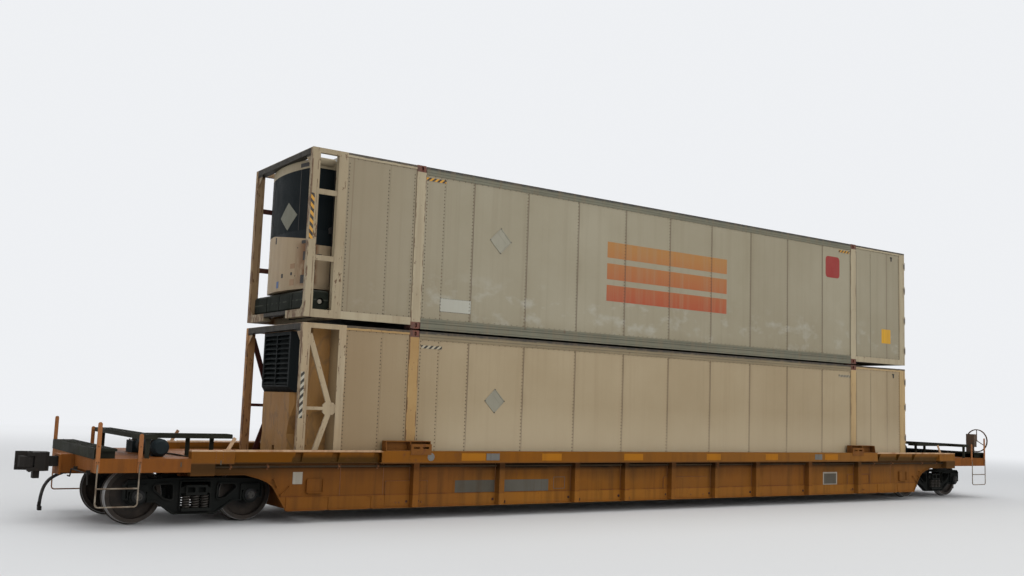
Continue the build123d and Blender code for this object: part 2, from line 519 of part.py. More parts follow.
stub = joined(stub, floor_plate, body_bolster, far(body_bolster), wear, far(wear), centre_plate, kingpin,
              carrier, draft_pin, pin_plate, striker)
save("stub_sills", stub, other_end(stub))

# End decks: a plate over the stub sill between channel side beams, with an end sill.
plate = block((WELL_HALF_X + WELD, END_X - WELD), (-SHEET_Y, SHEET_Y), (deck_under, DECK_Z))
beam = [(SHEET_Y, BEAM_Z), (SILL_Y, BEAM_Z), (SILL_Y, DECK_Z), (SHEET_Y, DECK_Z), (SHEET_Y, DECK_Z - WELD),
        (SILL_Y - WELD, DECK_Z - WELD), (SILL_Y - WELD, BEAM_Z + WELD), (SHEET_Y, BEAM_Z + WELD)]
deck = joined(plate, along_x(beam, (SILL_END_X, END_X - WELD)),
              far(along_x(beam, (SILL_END_X, END_X - WELD))))
end_sill = block((END_X - WELD, END_X), (-SILL_Y, SILL_Y), (BEAM_Z, DECK_Z))
end_sill -= block((END_X - WELD, END_X), (-SILL_HALF_W, SILL_HALF_W), (BEAM_Z, deck_under))
deck += end_sill
save("end_decks", deck, other_end(deck))

# Platforms at each end: a grating tread with a deep fascia over the end sill, a raised
# crossover board between the inner ladder posts, and a board along the car on two posts.
TREAD_Z = 1161.0
TREAD_Y = SILL_Y - 40.0
FASCIA_H = 146.0
FASCIA_T = 8.0
BOARD_Z = (1304.0, 1366.0)
CROSS_X = (END_X - 865.0, END_X - 615.0)
CROSS_Y = SILL_Y - 80.0
LONG_Y = (-960.0, -700.0)
LONG_X = TRUCK_X - 565.0
LONG_POST_XS = (TRUCK_X + 75.0, TRUCK_X - 305.0)
BRACKET_T = 12.0
tread = block((END_X - 300.0, END_X + 15.0), (-TREAD_Y, TREAD_Y), (TREAD_Z - 32.0, TREAD_Z))
tread += block((END_X + 15.0 - FASCIA_T, END_X + 15.0), (-TREAD_Y, TREAD_Y), (TREAD_Z - FASCIA_H, TREAD_Z))
for y in (80.0 - TREAD_Y, -TREAD_Y / 2, 0.0, TREAD_Y / 2, TREAD_Y - 80.0):
    tread += block((END_X - 290.0, END_X + 15.0 - FASCIA_T), (y - BRACKET_T / 2, y + BRACKET_T / 2),
                   (DECK_Z, TREAD_Z - 32.0))
boards = block(CROSS_X, (-CROSS_Y, CROSS_Y), BOARD_Z)
boards += block((LONG_X, CROSS_X[0]), LONG_Y, BOARD_Z)
for x, y in ((CROSS_X[0] + 120.0, -CROSS_Y + 60.0), (CROSS_X[0] + 120.0, CROSS_Y - 60.0),
             (LONG_POST_XS[0], LONG_Y[1] - 40.0), (LONG_POST_XS[1], LONG_Y[1] - 40.0)):
    boards += block((x - 30.0, x + 30.0), (y - 20.0, y + 20.0), (DECK_Z, BOARD_Z[0]))
save("end_platforms", tread, other_end(tread), boards, other_end(boards))

# Corner ladders: two posts on the side beam's face with rounded heads, and a stirrup rod
# with two rungs hanging below.
LADDER_Y = SILL_Y + WELD
STILE_X = (END_X - 615.0, END_X - 30.0)
STILE_TOP = (1385.0, 1545.0)
STILE_W = 60.0
STIRRUP_Z = 345.0
RUNG_Z = 605.0
ladder = None
for x, top in zip(STILE_X, STILE_TOP):
    stile = block((x - STILE_W / 2, x + STILE_W / 2), (SILL_Y, LADDER_Y), (BEAM_Z, top - STILE_W / 2))
    stile += Pos(x, (SILL_Y + LADDER_Y) / 2, top - STILE_W / 2) * Rot(90, 0, 0) * Cylinder(STILE_W / 2,
                                                                                           WELD)
    ladder = stile if ladder is None else ladder + stile
rod_y = LADDER_Y + ROD_R - 3.0
stirrup = bent_bar([(STILE_X[0], rod_y, BEAM_Z + 120.0), (STILE_X[0], rod_y, STIRRUP_Z),
                    (STILE_X[1], rod_y, STIRRUP_Z), (STILE_X[1], rod_y, BEAM_Z + 120.0)], ROD_R, 50.0)
ladder = joined(ladder, stirrup, bar((STILE_X[0], rod_y, RUNG_Z), (STILE_X[1], rod_y, RUNG_Z), ROD_R))
save("ladders", *four_corners(ladder))

# Coupler: shank on its draft pin, a head with the guard arm and the jaw, and a knuckle that
# turns on its own pin.
head_z = (COUPLER_Z - HEAD_H / 2, COUPLER_Z + HEAD_H / 2)
shank_z = (COUPLER_Z - SHANK_H / 2, COUPLER_Z + SHANK_H / 2)
horn_x = PULL_X - 330.0
KNUCKLE_PIN = (PULL_X - 62.0, 128.0)
shank = block((COUPLER_PIN_X, horn_x + 40.0), (-SHANK_W / 2, SHANK_W / 2), shank_z)
shank += Pos(COUPLER_PIN_X, 0, COUPLER_Z) * Cylinder(SHANK_W / 2, SHANK_H)
head_outline = [
    (horn_x, -110.0), (horn_x + 110.0, -150.0), (PULL_X - 60.0, -200.0), (PULL_X + 30.0, -222.0),
    (PULL_X + 100.0, -200.0), (PULL_X + 96.0, -168.0), (PULL_X + 20.0, -140.0), (PULL_X - 66.0, -96.0),
    (PULL_X - 96.0, -40.0), (PULL_X - 110.0, 30.0), (PULL_X - 120.0, 178.0), (horn_x + 60.0, 150.0),
    (horn_x, 110.0)]
head = along_z(head_outline, head_z)
LUG_T = 56.0
lug = along_z([(PULL_X - 130.0, 60.0), (PULL_X - 30.0, 84.0), (PULL_X - 20.0, 150.0),
               (PULL_X - 60.0, 184.0),
               (PULL_X - 130.0, 180.0)], (head_z[0], head_z[0] + LUG_T))
lug += along_z([(PULL_X - 130.0, 60.0), (PULL_X - 30.0, 84.0), (PULL_X - 20.0, 150.0),
                (PULL_X - 60.0, 184.0),
                (PULL_X - 130.0, 180.0)], (head_z[1] - LUG_T, head_z[1]))
knuckle_pin = Pos(*KNUCKLE_PIN, COUPLER_Z) * Cylinder(KNUCKLE_PIN_R, HEAD_H + 30.0)
lock_case = block((horn_x + 120.0, PULL_X - 120.0), (-60.0, 90.0), (head_z[0] - 110.0, head_z[0]))
head = joined(shank, head, lug, knuckle_pin, lock_case)
head -= Pos(COUPLER_PIN_X, 0, COUPLER_Z) * Cylinder(COUPLER_PIN_R + FIT, SHANK_H + 2.0)
KNUCKLE_GAP = 6.0
knuckle_z = (head_z[0] + LUG_T + KNUCKLE_GAP, head_z[1] - LUG_T - KNUCKLE_GAP)
knuckle_outline = [
    (PULL_X - 98.0, 96.0), (PULL_X - 40.0, 84.0), (PULL_X - 4.0, 70.0), (PULL_X, 20.0),
    (PULL_X + 2.0, -36.0),
    (PULL_X + 44.0, -58.0), (PULL_X + 82.0, -30.0), (PULL_X + 92.0, 30.0), (PULL_X + 76.0, 100.0),
    (PULL_X + 20.0, 158.0), (PULL_X - 60.0, 172.0), (PULL_X - 98.0, 160.0)]
knuckle = along_z(knuckle_outline, knuckle_z)
knuckle -= Pos(*KNUCKLE_PIN, COUPLER_Z) * Cylinder(KNUCKLE_PIN_R + FIT, HEAD_H + 30.0)
turned = Rot(0, 0, 180)
for end, place in (("b", Pos(0, 0, 0)), ("a", turned)):
    save("coupler_" + end, place * head)
    save("knuckle_" + end, place * knuckle)

# Uncoupling levers: a rod across the end sill on two brackets, with a handle at the side.
LEVER_X = END_X + 60.0
lever = bent_bar([(LEVER_X, 60.0, SILL_UNDER_Z - 50.0), (LEVER_X, 220.0, SILL_UNDER_Z - 50.0),
                  (LEVER_X, 280.0, BEAM_Z - 20.0), (LEVER_X, SILL_Y - 170.0, BEAM_Z - 20.0),
                  (LEVER_X, SILL_Y - 120.0, BEAM_Z - 170.0)], ROD_R, 40.0)
for y in (420.0, SILL_Y - 260.0):
    lever += block((END_X, LEVER_X), (y - 5.0, y + 5.0), (BEAM_Z - 36.0, BEAM_Z + 24.0))
save("uncoupling_levers", lever, turned * lever)

# Air hoses: the brake pipe's angle cock under the end sill, a hose that hangs from it and a
# coupling at the hose's end.
HOSE_R = 25.0
HOSE_Y = -330.0
HOSE_Z = 712.0
cock_x = (END_X - 160.0, END_X + 36.0)
hose_route = [(END_X + 90.0, HOSE_Y, HOSE_Z - 22.0), (END_X + 205.0, HOSE_Y, HOSE_Z - 75.0),
              (END_X + 293.0, HOSE_Y, HOSE_Z - 178.0), (END_X + 339.0, HOSE_Y, HOSE_Z - 312.0),
              (END_X + 352.0, HOSE_Y, HOSE_Z - 452.0)]
radii = []
for before, here, after in zip(hose_route[:-2], hose_route[1:-1], hose_route[2:]):
    run_in = Vector(*here) - Vector(*before)
    run_out = Vector(*after) - Vector(*here)
    half_turn = math.radians(run_in.get_angle(run_out)) / 2
    radii.append(0.45 * min(run_in.length, run_out.length) / math.tan(half_turn))
hose_path = FilletPolyline(*hose_route, radius=radii)
hose = sweep(Plane(origin=hose_route[0], z_dir=hose_path % 0) * Circle(HOSE_R), path=hose_path)
print("hose radii", [round(r) for r in radii], "length", round(hose_path.length))
print("hose volume against section times length", round(hose.volume / (math.pi * HOSE_R ** 2 * hose_path.length), 4))
start = Vector(*hose_route[0])
lead = (Vector(*hose_route[1]) - start).normalized()
tail = Vector(*hose_route[-1])
drop = (tail - Vector(*hose_route[-2])).normalized()
elbow = start - lead * 80.0
cock = rod((cock_x[0], HOSE_Y, elbow.Z), tuple(elbow), 30.0)
cock += rod(tuple(elbow), tuple(start), 28.0)
cock += Pos(elbow) * Sphere(42.0)
cock += block((END_X - WELD - 24.0, END_X - WELD), (HOSE_Y - 24.0, HOSE_Y + 24.0), (HOSE_Z, BEAM_Z + 60.0))
glad = rod(tuple(tail), tuple(tail + drop * 66.0), 27.0)
glad += block((tail.X - 26.0, tail.X + 26.0), (HOSE_Y - 24.0, HOSE_Y + 70.0),
              (tail.Z - 122.0, tail.Z - 60.0))
save("angle_cocks", cock, turned * cock)
save("air_hose_b", hose)
save("air_hose_a", turned * hose)
save("glad_hands", glad, turned * glad)

# Air brake gear on the decks: a reservoir across the "a" end with its valve, and a brake
# cylinder at the "b" end.
RES_R = 130.0
FEED_R = 14.0
RES_X = -(END_X - 1025.0)
res_z = DECK_Z + RES_R + 10.0
RES_Y = (400.0 - SILL_Y, -80.0)
DISH = 45.0
reservoir = rod((RES_X, RES_Y[0] + DISH, res_z), (RES_X, RES_Y[1] - DISH, res_z), RES_R)
for y, out in ((RES_Y[0], 1), (RES_Y[1], -1)):
    reservoir += loft([Plane(origin=(RES_X, y + out * DISH, res_z), z_dir=(0, 1, 0)) * Circle(RES_R),
                       Plane(origin=(RES_X, y, res_z), z_dir=(0, 1, 0)) * Circle(RES_R * 0.72)])
for y in (RES_Y[0] + 200.0, RES_Y[1] - 220.0):
    reservoir += block((RES_X - 90.0, RES_X + 90.0), (y - 20.0, y + 20.0), (DECK_Z, res_z - 60.0))
VALVE_Y = (60.0, 420.0)
VALVE_H = 190.0
VALVE_R = 80.0
valve = block((RES_X - 130.0, RES_X + 130.0), VALVE_Y, (DECK_Z, DECK_Z + VALVE_H))
valve += block((RES_X - 60.0, RES_X + 60.0), (VALVE_Y[0] + 60.0, VALVE_Y[1] - 60.0),
               (DECK_Z + VALVE_H, DECK_Z + VALVE_H + 70.0))
valve += rod((RES_X, VALVE_Y[1], DECK_Z + 110.0), (RES_X, VALVE_Y[1] + 100.0, DECK_Z + 110.0), VALVE_R)
feed = bent_bar([(RES_X, RES_Y[1] - 10.0, res_z + 60.0), (RES_X, RES_Y[1] + 70.0, res_z + 60.0),
                 (RES_X + 90.0, RES_Y[1] + 70.0, DECK_Z + 90.0),
                 (RES_X + 90.0, VALVE_Y[0] + 10.0, DECK_Z + 90.0)], FEED_R, 24.0)
CYL_X = (END_X - 1475.0, END_X - 925.0)
CYL_Y = 300.0
CYL_R = 120.0
ROD_OUT = 270.0
cyl_z = DECK_Z + CYL_R + 20.0
cylinder = rod((CYL_X[0], CYL_Y, cyl_z), (CYL_X[1], CYL_Y, cyl_z), CYL_R)
cylinder += rod((CYL_X[1], CYL_Y, cyl_z), (CYL_X[1] + ROD_OUT, CYL_Y, cyl_z), 26.0)
cylinder += block((CYL_X[0] + 100.0, CYL_X[1] - 100.0), (CYL_Y - 30.0, CYL_Y + 30.0),
                  (DECK_Z, DECK_Z + CYL_R / 2))
for x in (CYL_X[0] + 20.0, CYL_X[1] - 45.0):
    cylinder += rod((x, CYL_Y, cyl_z), (x + 25.0, CYL_Y, cyl_z), CYL_R + 18.0)
LEVER_W = 90.0
lever_tip = CYL_X[1] + ROD_OUT
cylinder += block((lever_tip - LEVER_W, lever_tip), (CYL_Y - 420.0, CYL_Y + 60.0),
                  (cyl_z - 12.0, cyl_z + 12.0))
cylinder += rod((lever_tip - LEVER_W / 2, CYL_Y - 380.0, DECK_Z),
                (lever_tip - LEVER_W / 2, CYL_Y - 380.0, cyl_z), 22.0)
save("air_brake_gear", joined(reservoir, valve, feed), cylinder)

# Hand brake on the "b" end, near side: a gear housing on a post, with its wheel.
BRAKE_X = END_X + 15.0
BRAKE_Y = 320.0 - SILL_Y
BRAKE_Z = 1470.0
BRAKE_WHEEL_R = 290.0
housing = block((BRAKE_X, BRAKE_X + 110.0), (BRAKE_Y - 20.0, BRAKE_Y + 210.0),
                (BRAKE_Z - 170.0, BRAKE_Z + 170.0))
post = block((BRAKE_X - 10.0, BRAKE_X), (BRAKE_Y - 20.0, BRAKE_Y + 210.0),
             (DECK_Z + 136.0, BRAKE_Z + 170.0))
shaft = rod((BRAKE_X + 110.0, BRAKE_Y, BRAKE_Z), (BRAKE_X + 150.0, BRAKE_Y, BRAKE_Z), 24.0)
HOOP_W = 26.0
hoop = Pos(BRAKE_X + 150.0, BRAKE_Y, BRAKE_Z) * Rot(0, 90, 0) * Cylinder(BRAKE_WHEEL_R + HOOP_W / 2, HOOP_W)
hoop -= Pos(BRAKE_X + 150.0, BRAKE_Y, BRAKE_Z) * Rot(0, 90, 0) * Cylinder(BRAKE_WHEEL_R - HOOP_W / 2,
                                                                          HOOP_W)
brake = joined(housing, post, shaft, hoop)
for turn in range(3):
    angle = math.radians(90.0 + 120.0 * turn)
    reach = (BRAKE_X + 150.0, BRAKE_Y + BRAKE_WHEEL_R * math.cos(angle),
             BRAKE_Z + BRAKE_WHEEL_R * math.sin(angle))
    brake += bar((BRAKE_X + 150.0, BRAKE_Y, BRAKE_Z), reach, 12.0)
save("hand_brake", brake)

# Containers
WALL_Y = (HALF_W - 14.0 - WALL_T, HALF_W - 14.0)
FLOOR_T = 50.0
BEAM_PITCH = (CORE_POST_X - 336.0) / 12
FLOOR_UNDER = 118.0
RAIL_H = 190.0
TOP_RAIL_H = 150.0
RAISE = 60.0
TOP_GAP = 8.0
inner_top = CONT_H - ROOF_T
SEAM_PITCH = 1219.2
SEAM_W = 6.0
SEAM_DEEP = 3.0
seam_xs = [SEAM_PITCH * step for step in range(-4, 5)]
seam_xs += [-4.5 * SEAM_PITCH, -CORE_POST_X - 518.0, CORE_POST_X + 594.0]
roof_seam_xs = [SEAM_PITCH * (step + 0.5) for step in range(-6, 6)]
RAIL_GROOVE_Z = (100.0, 112.0)
HOLE_H = 79.0                 # oval holes in the castings' sides
HOLE_W = 51.0
HOLE_DEEP = 32.0
STANDOFF_W = 170.0            # upper nose's inner posts


def container(base, front_post):
    """One insulated box with its frame, as named pieces standing at the given height."""
    pieces = {}
    up = Pos(0, 0, base)
    box_x = (-NOSE_X, REAR_POST_X - 208.0)
    casting_y = (HALF_W - CASTING[1], HALF_W)
    top_block = block((CORE_POST_X - CASTING[0], CORE_POST_X), casting_y, (CONT_H - CASTING[2], CONT_H))
    wall = block(box_x, WALL_Y, (FLOOR_UNDER, inner_top)) - top_block - other_end(top_block)
    for x in seam_xs:
        wall -= block((x - SEAM_W / 2, x + SEAM_W / 2), (WALL_Y[1] - SEAM_DEEP, WALL_Y[1]),
                      (FLOOR_UNDER, inner_top))
    pieces["side_walls"] = both_sides(wall)
    roof = block(box_x, (-WALL_Y[1], WALL_Y[1]), (inner_top, CONT_H - 14.0))
    for x in roof_seam_xs:
        roof -= block((x - SEAM_W / 2, x + SEAM_W / 2), (-WALL_Y[1], WALL_Y[1]),
                      (CONT_H - 14.0 - SEAM_DEEP, CONT_H - 14.0))
    for pocket in four_corners(top_block):
        roof -= pocket
    pieces["roof"] = [roof]
    floor_slab = block((box_x[0] + 80.0, box_x[1]), (-WALL_Y[0], WALL_Y[0]),
                       (FLOOR_UNDER, FLOOR_UNDER + FLOOR_T))
    for step in range(25):
        x = BEAM_PITCH * (step - 12)
        floor_slab += block((x - 20.0, x + 20.0), (-WALL_Y[0], WALL_Y[0]),
                            (FLOOR_UNDER - 100.0, FLOOR_UNDER))
    pieces["floor"] = [floor_slab]
    pieces["front_wall"] = [block((box_x[0], box_x[0] + 80.0), (-WALL_Y[0], WALL_Y[0]),
                                  (FLOOR_UNDER, inner_top))]
    core = CORE_POST_X - CORE_POST_W
    rails = []
    main = block((-core, core), (WALL_Y[1], HALF_W), (0.0, RAIL_H))
    main -= block((-core, core), (HALF_W - SEAM_DEEP * 2, HALF_W), RAIL_GROOVE_Z)
    main_top = block((-core, core), (WALL_Y[1], HALF_W), (CONT_H - TOP_RAIL_H, CONT_H - TOP_GAP))
    nose_low = block((-NOSE_X + front_post, -CORE_POST_X), (WALL_Y[1], HALF_W), (RAISE, RAISE + 130.0))
    nose_high = block((-NOSE_X + front_post, -CORE_POST_X), (WALL_Y[1], HALF_W),
                      (CONT_H - 80.0, CONT_H - TOP_GAP))
    rear_low = block((CORE_POST_X, box_x[1]), (WALL_Y[1], HALF_W), (RAISE, RAISE + 130.0))
    rear_high = block((CORE_POST_X, box_x[1]), (WALL_Y[1], HALF_W), (CONT_H - 80.0, CONT_H - TOP_GAP))
    for rail in (main, main_top, nose_low, nose_high, rear_low, rear_high):
        rails += both_sides(rail)
    pieces["rails"] = rails
    corner = block((CORE_POST_X - CASTING[0], CORE_POST_X), casting_y, (0.0, CASTING[2]))
    slot = Plane.XY * SlotOverall(SLOT_L, 2 * SLOT_R)
    lower_slot = Pos(SLOT_X, SLOT_Y, 0) * extrude(slot, amount=32.0)
    upper_slot = Pos(SLOT_X, SLOT_Y, CONT_H - 32.0) * extrude(slot, amount=32.0)
    side_hole = extrude(Plane.XZ * SlotOverall(HOLE_H, HOLE_W, rotation=90), amount=HOLE_DEEP,
                        dir=(0, -1, 0))
    corner = corner - lower_slot - Pos(SLOT_X, HALF_W, CASTING[2] / 2) * side_hole
    top_corner = top_block - upper_slot - Pos(SLOT_X, HALF_W, CONT_H - CASTING[2] / 2) * side_hole
    post = block((core, CORE_POST_X), (WALL_Y[1], HALF_W), (CASTING[2], CONT_H - CASTING[2]))
    pieces["posts"] = four_corners(post)
    pieces["castings"] = four_corners(corner) + four_corners(top_corner)
    return pieces, up


def nose_frame(braced):
    """The open frame ahead of the box that shields the refrigeration unit."""
    outer = (-HALF_L, -HALF_L + NOSE_POST_W)
    post_y = (HALF_W - NOSE_POST_D, HALF_W)
    top = CONT_H - TOP_GAP
    shelf = (RAISE + FORK_H, RAISE + 130.0)
    half = block(outer, post_y, (RAISE, top))
    for z in ((RAISE, RAISE + 130.0), (CONT_H - 90.0, top)):
        half += block((outer[0], -NOSE_X), (HALF_W - 80.0, HALF_W), z)
    half += block(outer, (0.0, post_y[0]), (CONT_H - 110.0, top))
    half += block(outer, (0.0, post_y[0]), shelf)
    half += block(outer, (FORK_HALF_W, post_y[0]), (RAISE, shelf[0]))
    for z, drop in ((CONT_H - 110.0, -GUSSET), (shelf[1], GUSSET / 2)):
        half += along_x([(post_y[0], z), (post_y[0] - abs(drop), z), (post_y[0], z + drop)],
                        (outer[0] + WELD, outer[0] + 2 * WELD))
    bar_y = (HALF_W - 40.0, HALF_W - TOP_GAP)
    if braced:
        half += block((-NOSE_X, -NOSE_X + BOX_POST_W), (WALL_Y[1], HALF_W), (RAISE, top))
        half += block((-NOSE_X - 60.0, -NOSE_X), (0.0, HALF_W - 80.0), (RAISE, RAISE + 100.0))
        knee = (-NOSE_X - KNEE_OUT, CONT_H - KNEE_DROP)
        half += strip((outer[1] - 10.0, CONT_H - 190.0), (knee[0], knee[1] + 60.0), BRACE_W, bar_y)
        half += strip((outer[1] - 10.0, RAISE + 190.0), (knee[0], knee[1] - 60.0), BRACE_W, bar_y)
        half += strip((outer[1] - 10.0, knee[1]), (knee[0], knee[1]), BRACE_W * 0.6, bar_y)
        half += along_y(cornered((knee[0] - KNEE_OUT, -NOSE_X), (knee[1] - 100.0, knee[1] + 100.0), 40.0),
                        bar_y)
    else:
        inner = (-NOSE_X - STANDOFF_W, -NOSE_X)
        half += block(inner, post_y, (RAISE, top))
        half += block(inner, (0.0, post_y[0]), (RAISE, RAISE + 100.0))
        for z in RUNG_DROPS:
            half += block((outer[1], inner[0]), bar_y, (CONT_H - z, CONT_H - z + BRACE_W))
    return half + far(half)


def door_frame():
    """The rear frame: corner posts, header, sill, and hinge lugs with their pins."""
    post = block((REAR_POST_X - 208.0, REAR_POST_X), (DOOR_EDGE_Y + 12.0, HALF_W),
                 (RAISE, CONT_H - TOP_GAP))
    for z in HINGE_ZS:
        post -= block((DOOR_PIN_X - LINK_REACH - 20.0, REAR_POST_X), (DOOR_PIN_Y, HALF_W),
                      (z - HINGE_H / 2 - 6.0, z + HINGE_H / 2 + 6.0))
    half = joined(post, block((REAR_POST_X - 208.0, REAR_POST_X), (0.0, DOOR_EDGE_Y + 12.0),
                              (RAISE, DOOR_LOW)),
                  block((REAR_POST_X - 208.0, REAR_POST_X), (0.0, DOOR_EDGE_Y + 12.0),
                        (DOOR_HIGH, CONT_H - TOP_GAP)))
    for z in HINGE_ZS:
        for side in (-1, 1):
            low = z + side * (HINGE_H / 2 + 6.0 + LUG_H / 2)
            ear = block((REAR_POST_X, DOOR_PIN_X), (DOOR_PIN_Y - 12.0, DOOR_PIN_Y + 12.0),
                        (low - LUG_H / 2, low + LUG_H / 2))
            ear += Pos(DOOR_PIN_X, DOOR_PIN_Y, low) * Cylinder(BARREL_R - 2.0, LUG_H)
            half += ear
        half += Pos(DOOR_PIN_X, DOOR_PIN_Y, z) * Cylinder(DOOR_PIN_R, HINGE_H + 12.0 + 2 * LUG_H)
    return half + far(half)


def door(free_y):
    """One door leaf with its hinge straps and two lock rods on brackets."""
    face_x = REAR_POST_X - LEAF_INSET
    leaf = block((face_x - DOOR_T, face_x), (free_y, DOOR_EDGE_Y), (DOOR_LOW + 6.0, DOOR_HIGH - 6.0))
    for z in HINGE_ZS:
        strap = block((face_x, face_x + STRAP_T), (DOOR_EDGE_Y - 130.0, DOOR_EDGE_Y),
                      (z - HINGE_H / 2, z + HINGE_H / 2))
        strap += block((face_x, DOOR_PIN_X - 6.0), (DOOR_EDGE_Y - STRAP_T, DOOR_EDGE_Y),
                       (z - HINGE_H / 2, z + HINGE_H / 2))
        strap += block((DOOR_PIN_X - 20.0, DOOR_PIN_X - 6.0), (DOOR_EDGE_Y, DOOR_PIN_Y),
                       (z - HINGE_H / 2, z + HINGE_H / 2))
        strap += Pos(DOOR_PIN_X, DOOR_PIN_Y, z) * Cylinder(BARREL_R, HINGE_H)
        strap -= Pos(DOOR_PIN_X, DOOR_PIN_Y, z) * Cylinder(DOOR_PIN_R + FIT, HINGE_H)
        leaf += strap
    for y in (free_y + 190.0, DOOR_EDGE_Y - 330.0):
        bar_x = face_x + LOCK_R + 8.0
        leaf += bar((bar_x, y, DOOR_LOW + 30.0), (bar_x, y, DOOR_HIGH - 30.0), LOCK_R)
        for z in (DOOR_LOW + 120.0, DOOR_LOW + 900.0, DOOR_HIGH - 900.0, DOOR_HIGH - 120.0):
            leaf += block((face_x, bar_x), (y - 30.0, y + 30.0), (z - 25.0, z + 25.0))
        leaf += block((bar_x - 6.0, bar_x + 6.0), (y, y + 300.0), (DOOR_LOW + 780.0, DOOR_LOW + 812.0))
    return leaf


NOSE_POST_D = 96.0
FORK_H = 70.0                 # fork opening under the nose's front rail
FORK_HALF_W = 500.0
GUSSET = 220.0
BRACE_W = 88.0
KNEE_OUT = 110.0
KNEE_DROP = 1396.0
RUNG_DROPS = (1896.0, 786.0)
DOOR_LOW = 190.0
DOOR_HIGH = CONT_H - 146.0
HINGE_ZS = [DOOR_LOW + share * (DOOR_HIGH - DOOR_LOW) for share in (0.09, 0.387, 0.684, 0.926)]
LEAF_INSET = 38.0             # the leaf's face behind the post's
STRAP_T = 14.0
LINK_REACH = DOOR_PIN_Y - DOOR_EDGE_Y + STRAP_T
HINGE_H = 120.0
LUG_H = 30.0
LOCK_R = 14.0
DOOR_MID_GAP = 6.0

for level, base in (("lower", CONT_Z[0]), ("upper", CONT_Z[1])):
    pieces, up = container(base, BOX_POST_W if level == "lower" else 0.0)
    for name in ("side_walls", "roof", "floor", "front_wall", "rails"):
        save(level + "_" + name, *[up * s for s in pieces[name]])
    save(level + "_posts", *[up * s for s in pieces["posts"] + pieces["castings"]])
    save(level + "_nose_frame", up * nose_frame(level == "lower"))
    save(level + "_door_frame", up * door_frame())
    leaf = up * door(DOOR_MID_GAP / 2)
    if level == "upper":
        save("upper_door_left", leaf)
        save("upper_door_right", far(leaf))
    else:
        save("lower_doors", leaf, far(leaf))

# Upper refrigeration unit: a cabinet with a bowed front and round corners, a dark cover wrapped
# round its upper part under a crown band, and an exhaust drum at its side.
UNIT_DEPTH = 590.0
UNIT_HALF_W = HALF_W - 365.5
UNIT_BOW = 140.0
UNIT_CORNER = 120.0
UNIT_FOOT = 560.0
UNIT_TOP_GAP = 116.0
COVER_T = 14.0
COVER_FOOT = 1570.0
CROWN_H = 150.0
DRUM_R = 60.0


def unit_plan(inset):
    """The upper cabinet's outline from above, moved in by an inset all round its front."""
    front, side = -NOSE_X - UNIT_DEPTH + inset, UNIT_HALF_W - inset
    bow = ThreePointArc((front + UNIT_BOW, side), (front, 0.0), (front + UNIT_BOW, -side))
    back = Polyline((front + UNIT_BOW, -side), (-NOSE_X, -side), (-NOSE_X, side), (front + UNIT_BOW, side))
    plan = make_face((bow + back).edges())
    return fillet(plan.vertices().sort_by(Axis.X)[:2], UNIT_CORNER)


def upright(face, z):
    return extrude(Plane.XY.offset(z[0]) * face, amount=z[1] - z[0])


unit_top = CONT_H - UNIT_TOP_GAP
cover_z = (CONT_Z[1] + COVER_FOOT, CONT_Z[1] + unit_top - CROWN_H)
upper_unit = upright(unit_plan(0.0), (CONT_Z[1] + UNIT_FOOT, CONT_Z[1] + unit_top))
upper_cover = upright(unit_plan(0.0) - unit_plan(COVER_T), cover_z)
upper_unit -= upper_cover
drum_y = UNIT_HALF_W + DRUM_R - 3.0
drum_z = CONT_Z[1] + unit_top + 20.0 - DRUM_R
upper_unit += far(rod((-NOSE_X - 420.0, drum_y, drum_z), (-NOSE_X - 120.0, drum_y, drum_z), DRUM_R))
save("upper_unit_housing", upper_unit)
save("upper_unit_grille", upper_cover)

# Fuel tank across the upper nose: swaged into four sections, with a filler well in each end
TANK_X = (-NOSE_X - 570.0, -NOSE_X - STANDOFF_W)
TANK_Y = HALF_W - 145.5
TANK_Z = (CONT_Z[1] + 195.0, CONT_Z[1] + 515.0)
TANK_EDGE = 36.0
SWAGE_W = 24.0
SWAGE_DEEP = 14.0
WELL_R = 62.0
tank_outline = cornered(TANK_X, TANK_Z, TANK_EDGE)
tank = along_y(tank_outline, (-TANK_Y, TANK_Y))
swage = along_y(tank_outline, (-SWAGE_W / 2, SWAGE_W / 2))
swage -= along_y(cornered((TANK_X[0] + SWAGE_DEEP, TANK_X[1] - SWAGE_DEEP),
                          (TANK_Z[0] + SWAGE_DEEP, TANK_Z[1] - SWAGE_DEEP),
                          TANK_EDGE), (-SWAGE_W / 2, SWAGE_W / 2))
for share in (-0.5, 0.0, 0.5):
    tank -= Pos(0, share * TANK_Y, 0) * swage
for side in (1, -1):
    low, high = sorted((side * (TANK_Y - 50.0), side * TANK_Y))
    tank -= rod((sum(TANK_X) / 2 + 60.0, low, sum(TANK_Z) / 2 - 20.0),
                (sum(TANK_X) / 2 + 60.0, high, sum(TANK_Z) / 2 - 20.0), WELL_R)
for y in (150.0 - TANK_Y, 150.0 - TANK_Y / 2, TANK_Y / 2 - 150.0, TANK_Y - 150.0):
    tank += block((-NOSE_X - STANDOFF_W, -NOSE_X), (y - 30.0, y + 30.0),
                  (TANK_Z[0] + 60.0, TANK_Z[0] + 120.0))
save("upper_fuel_tank", tank)

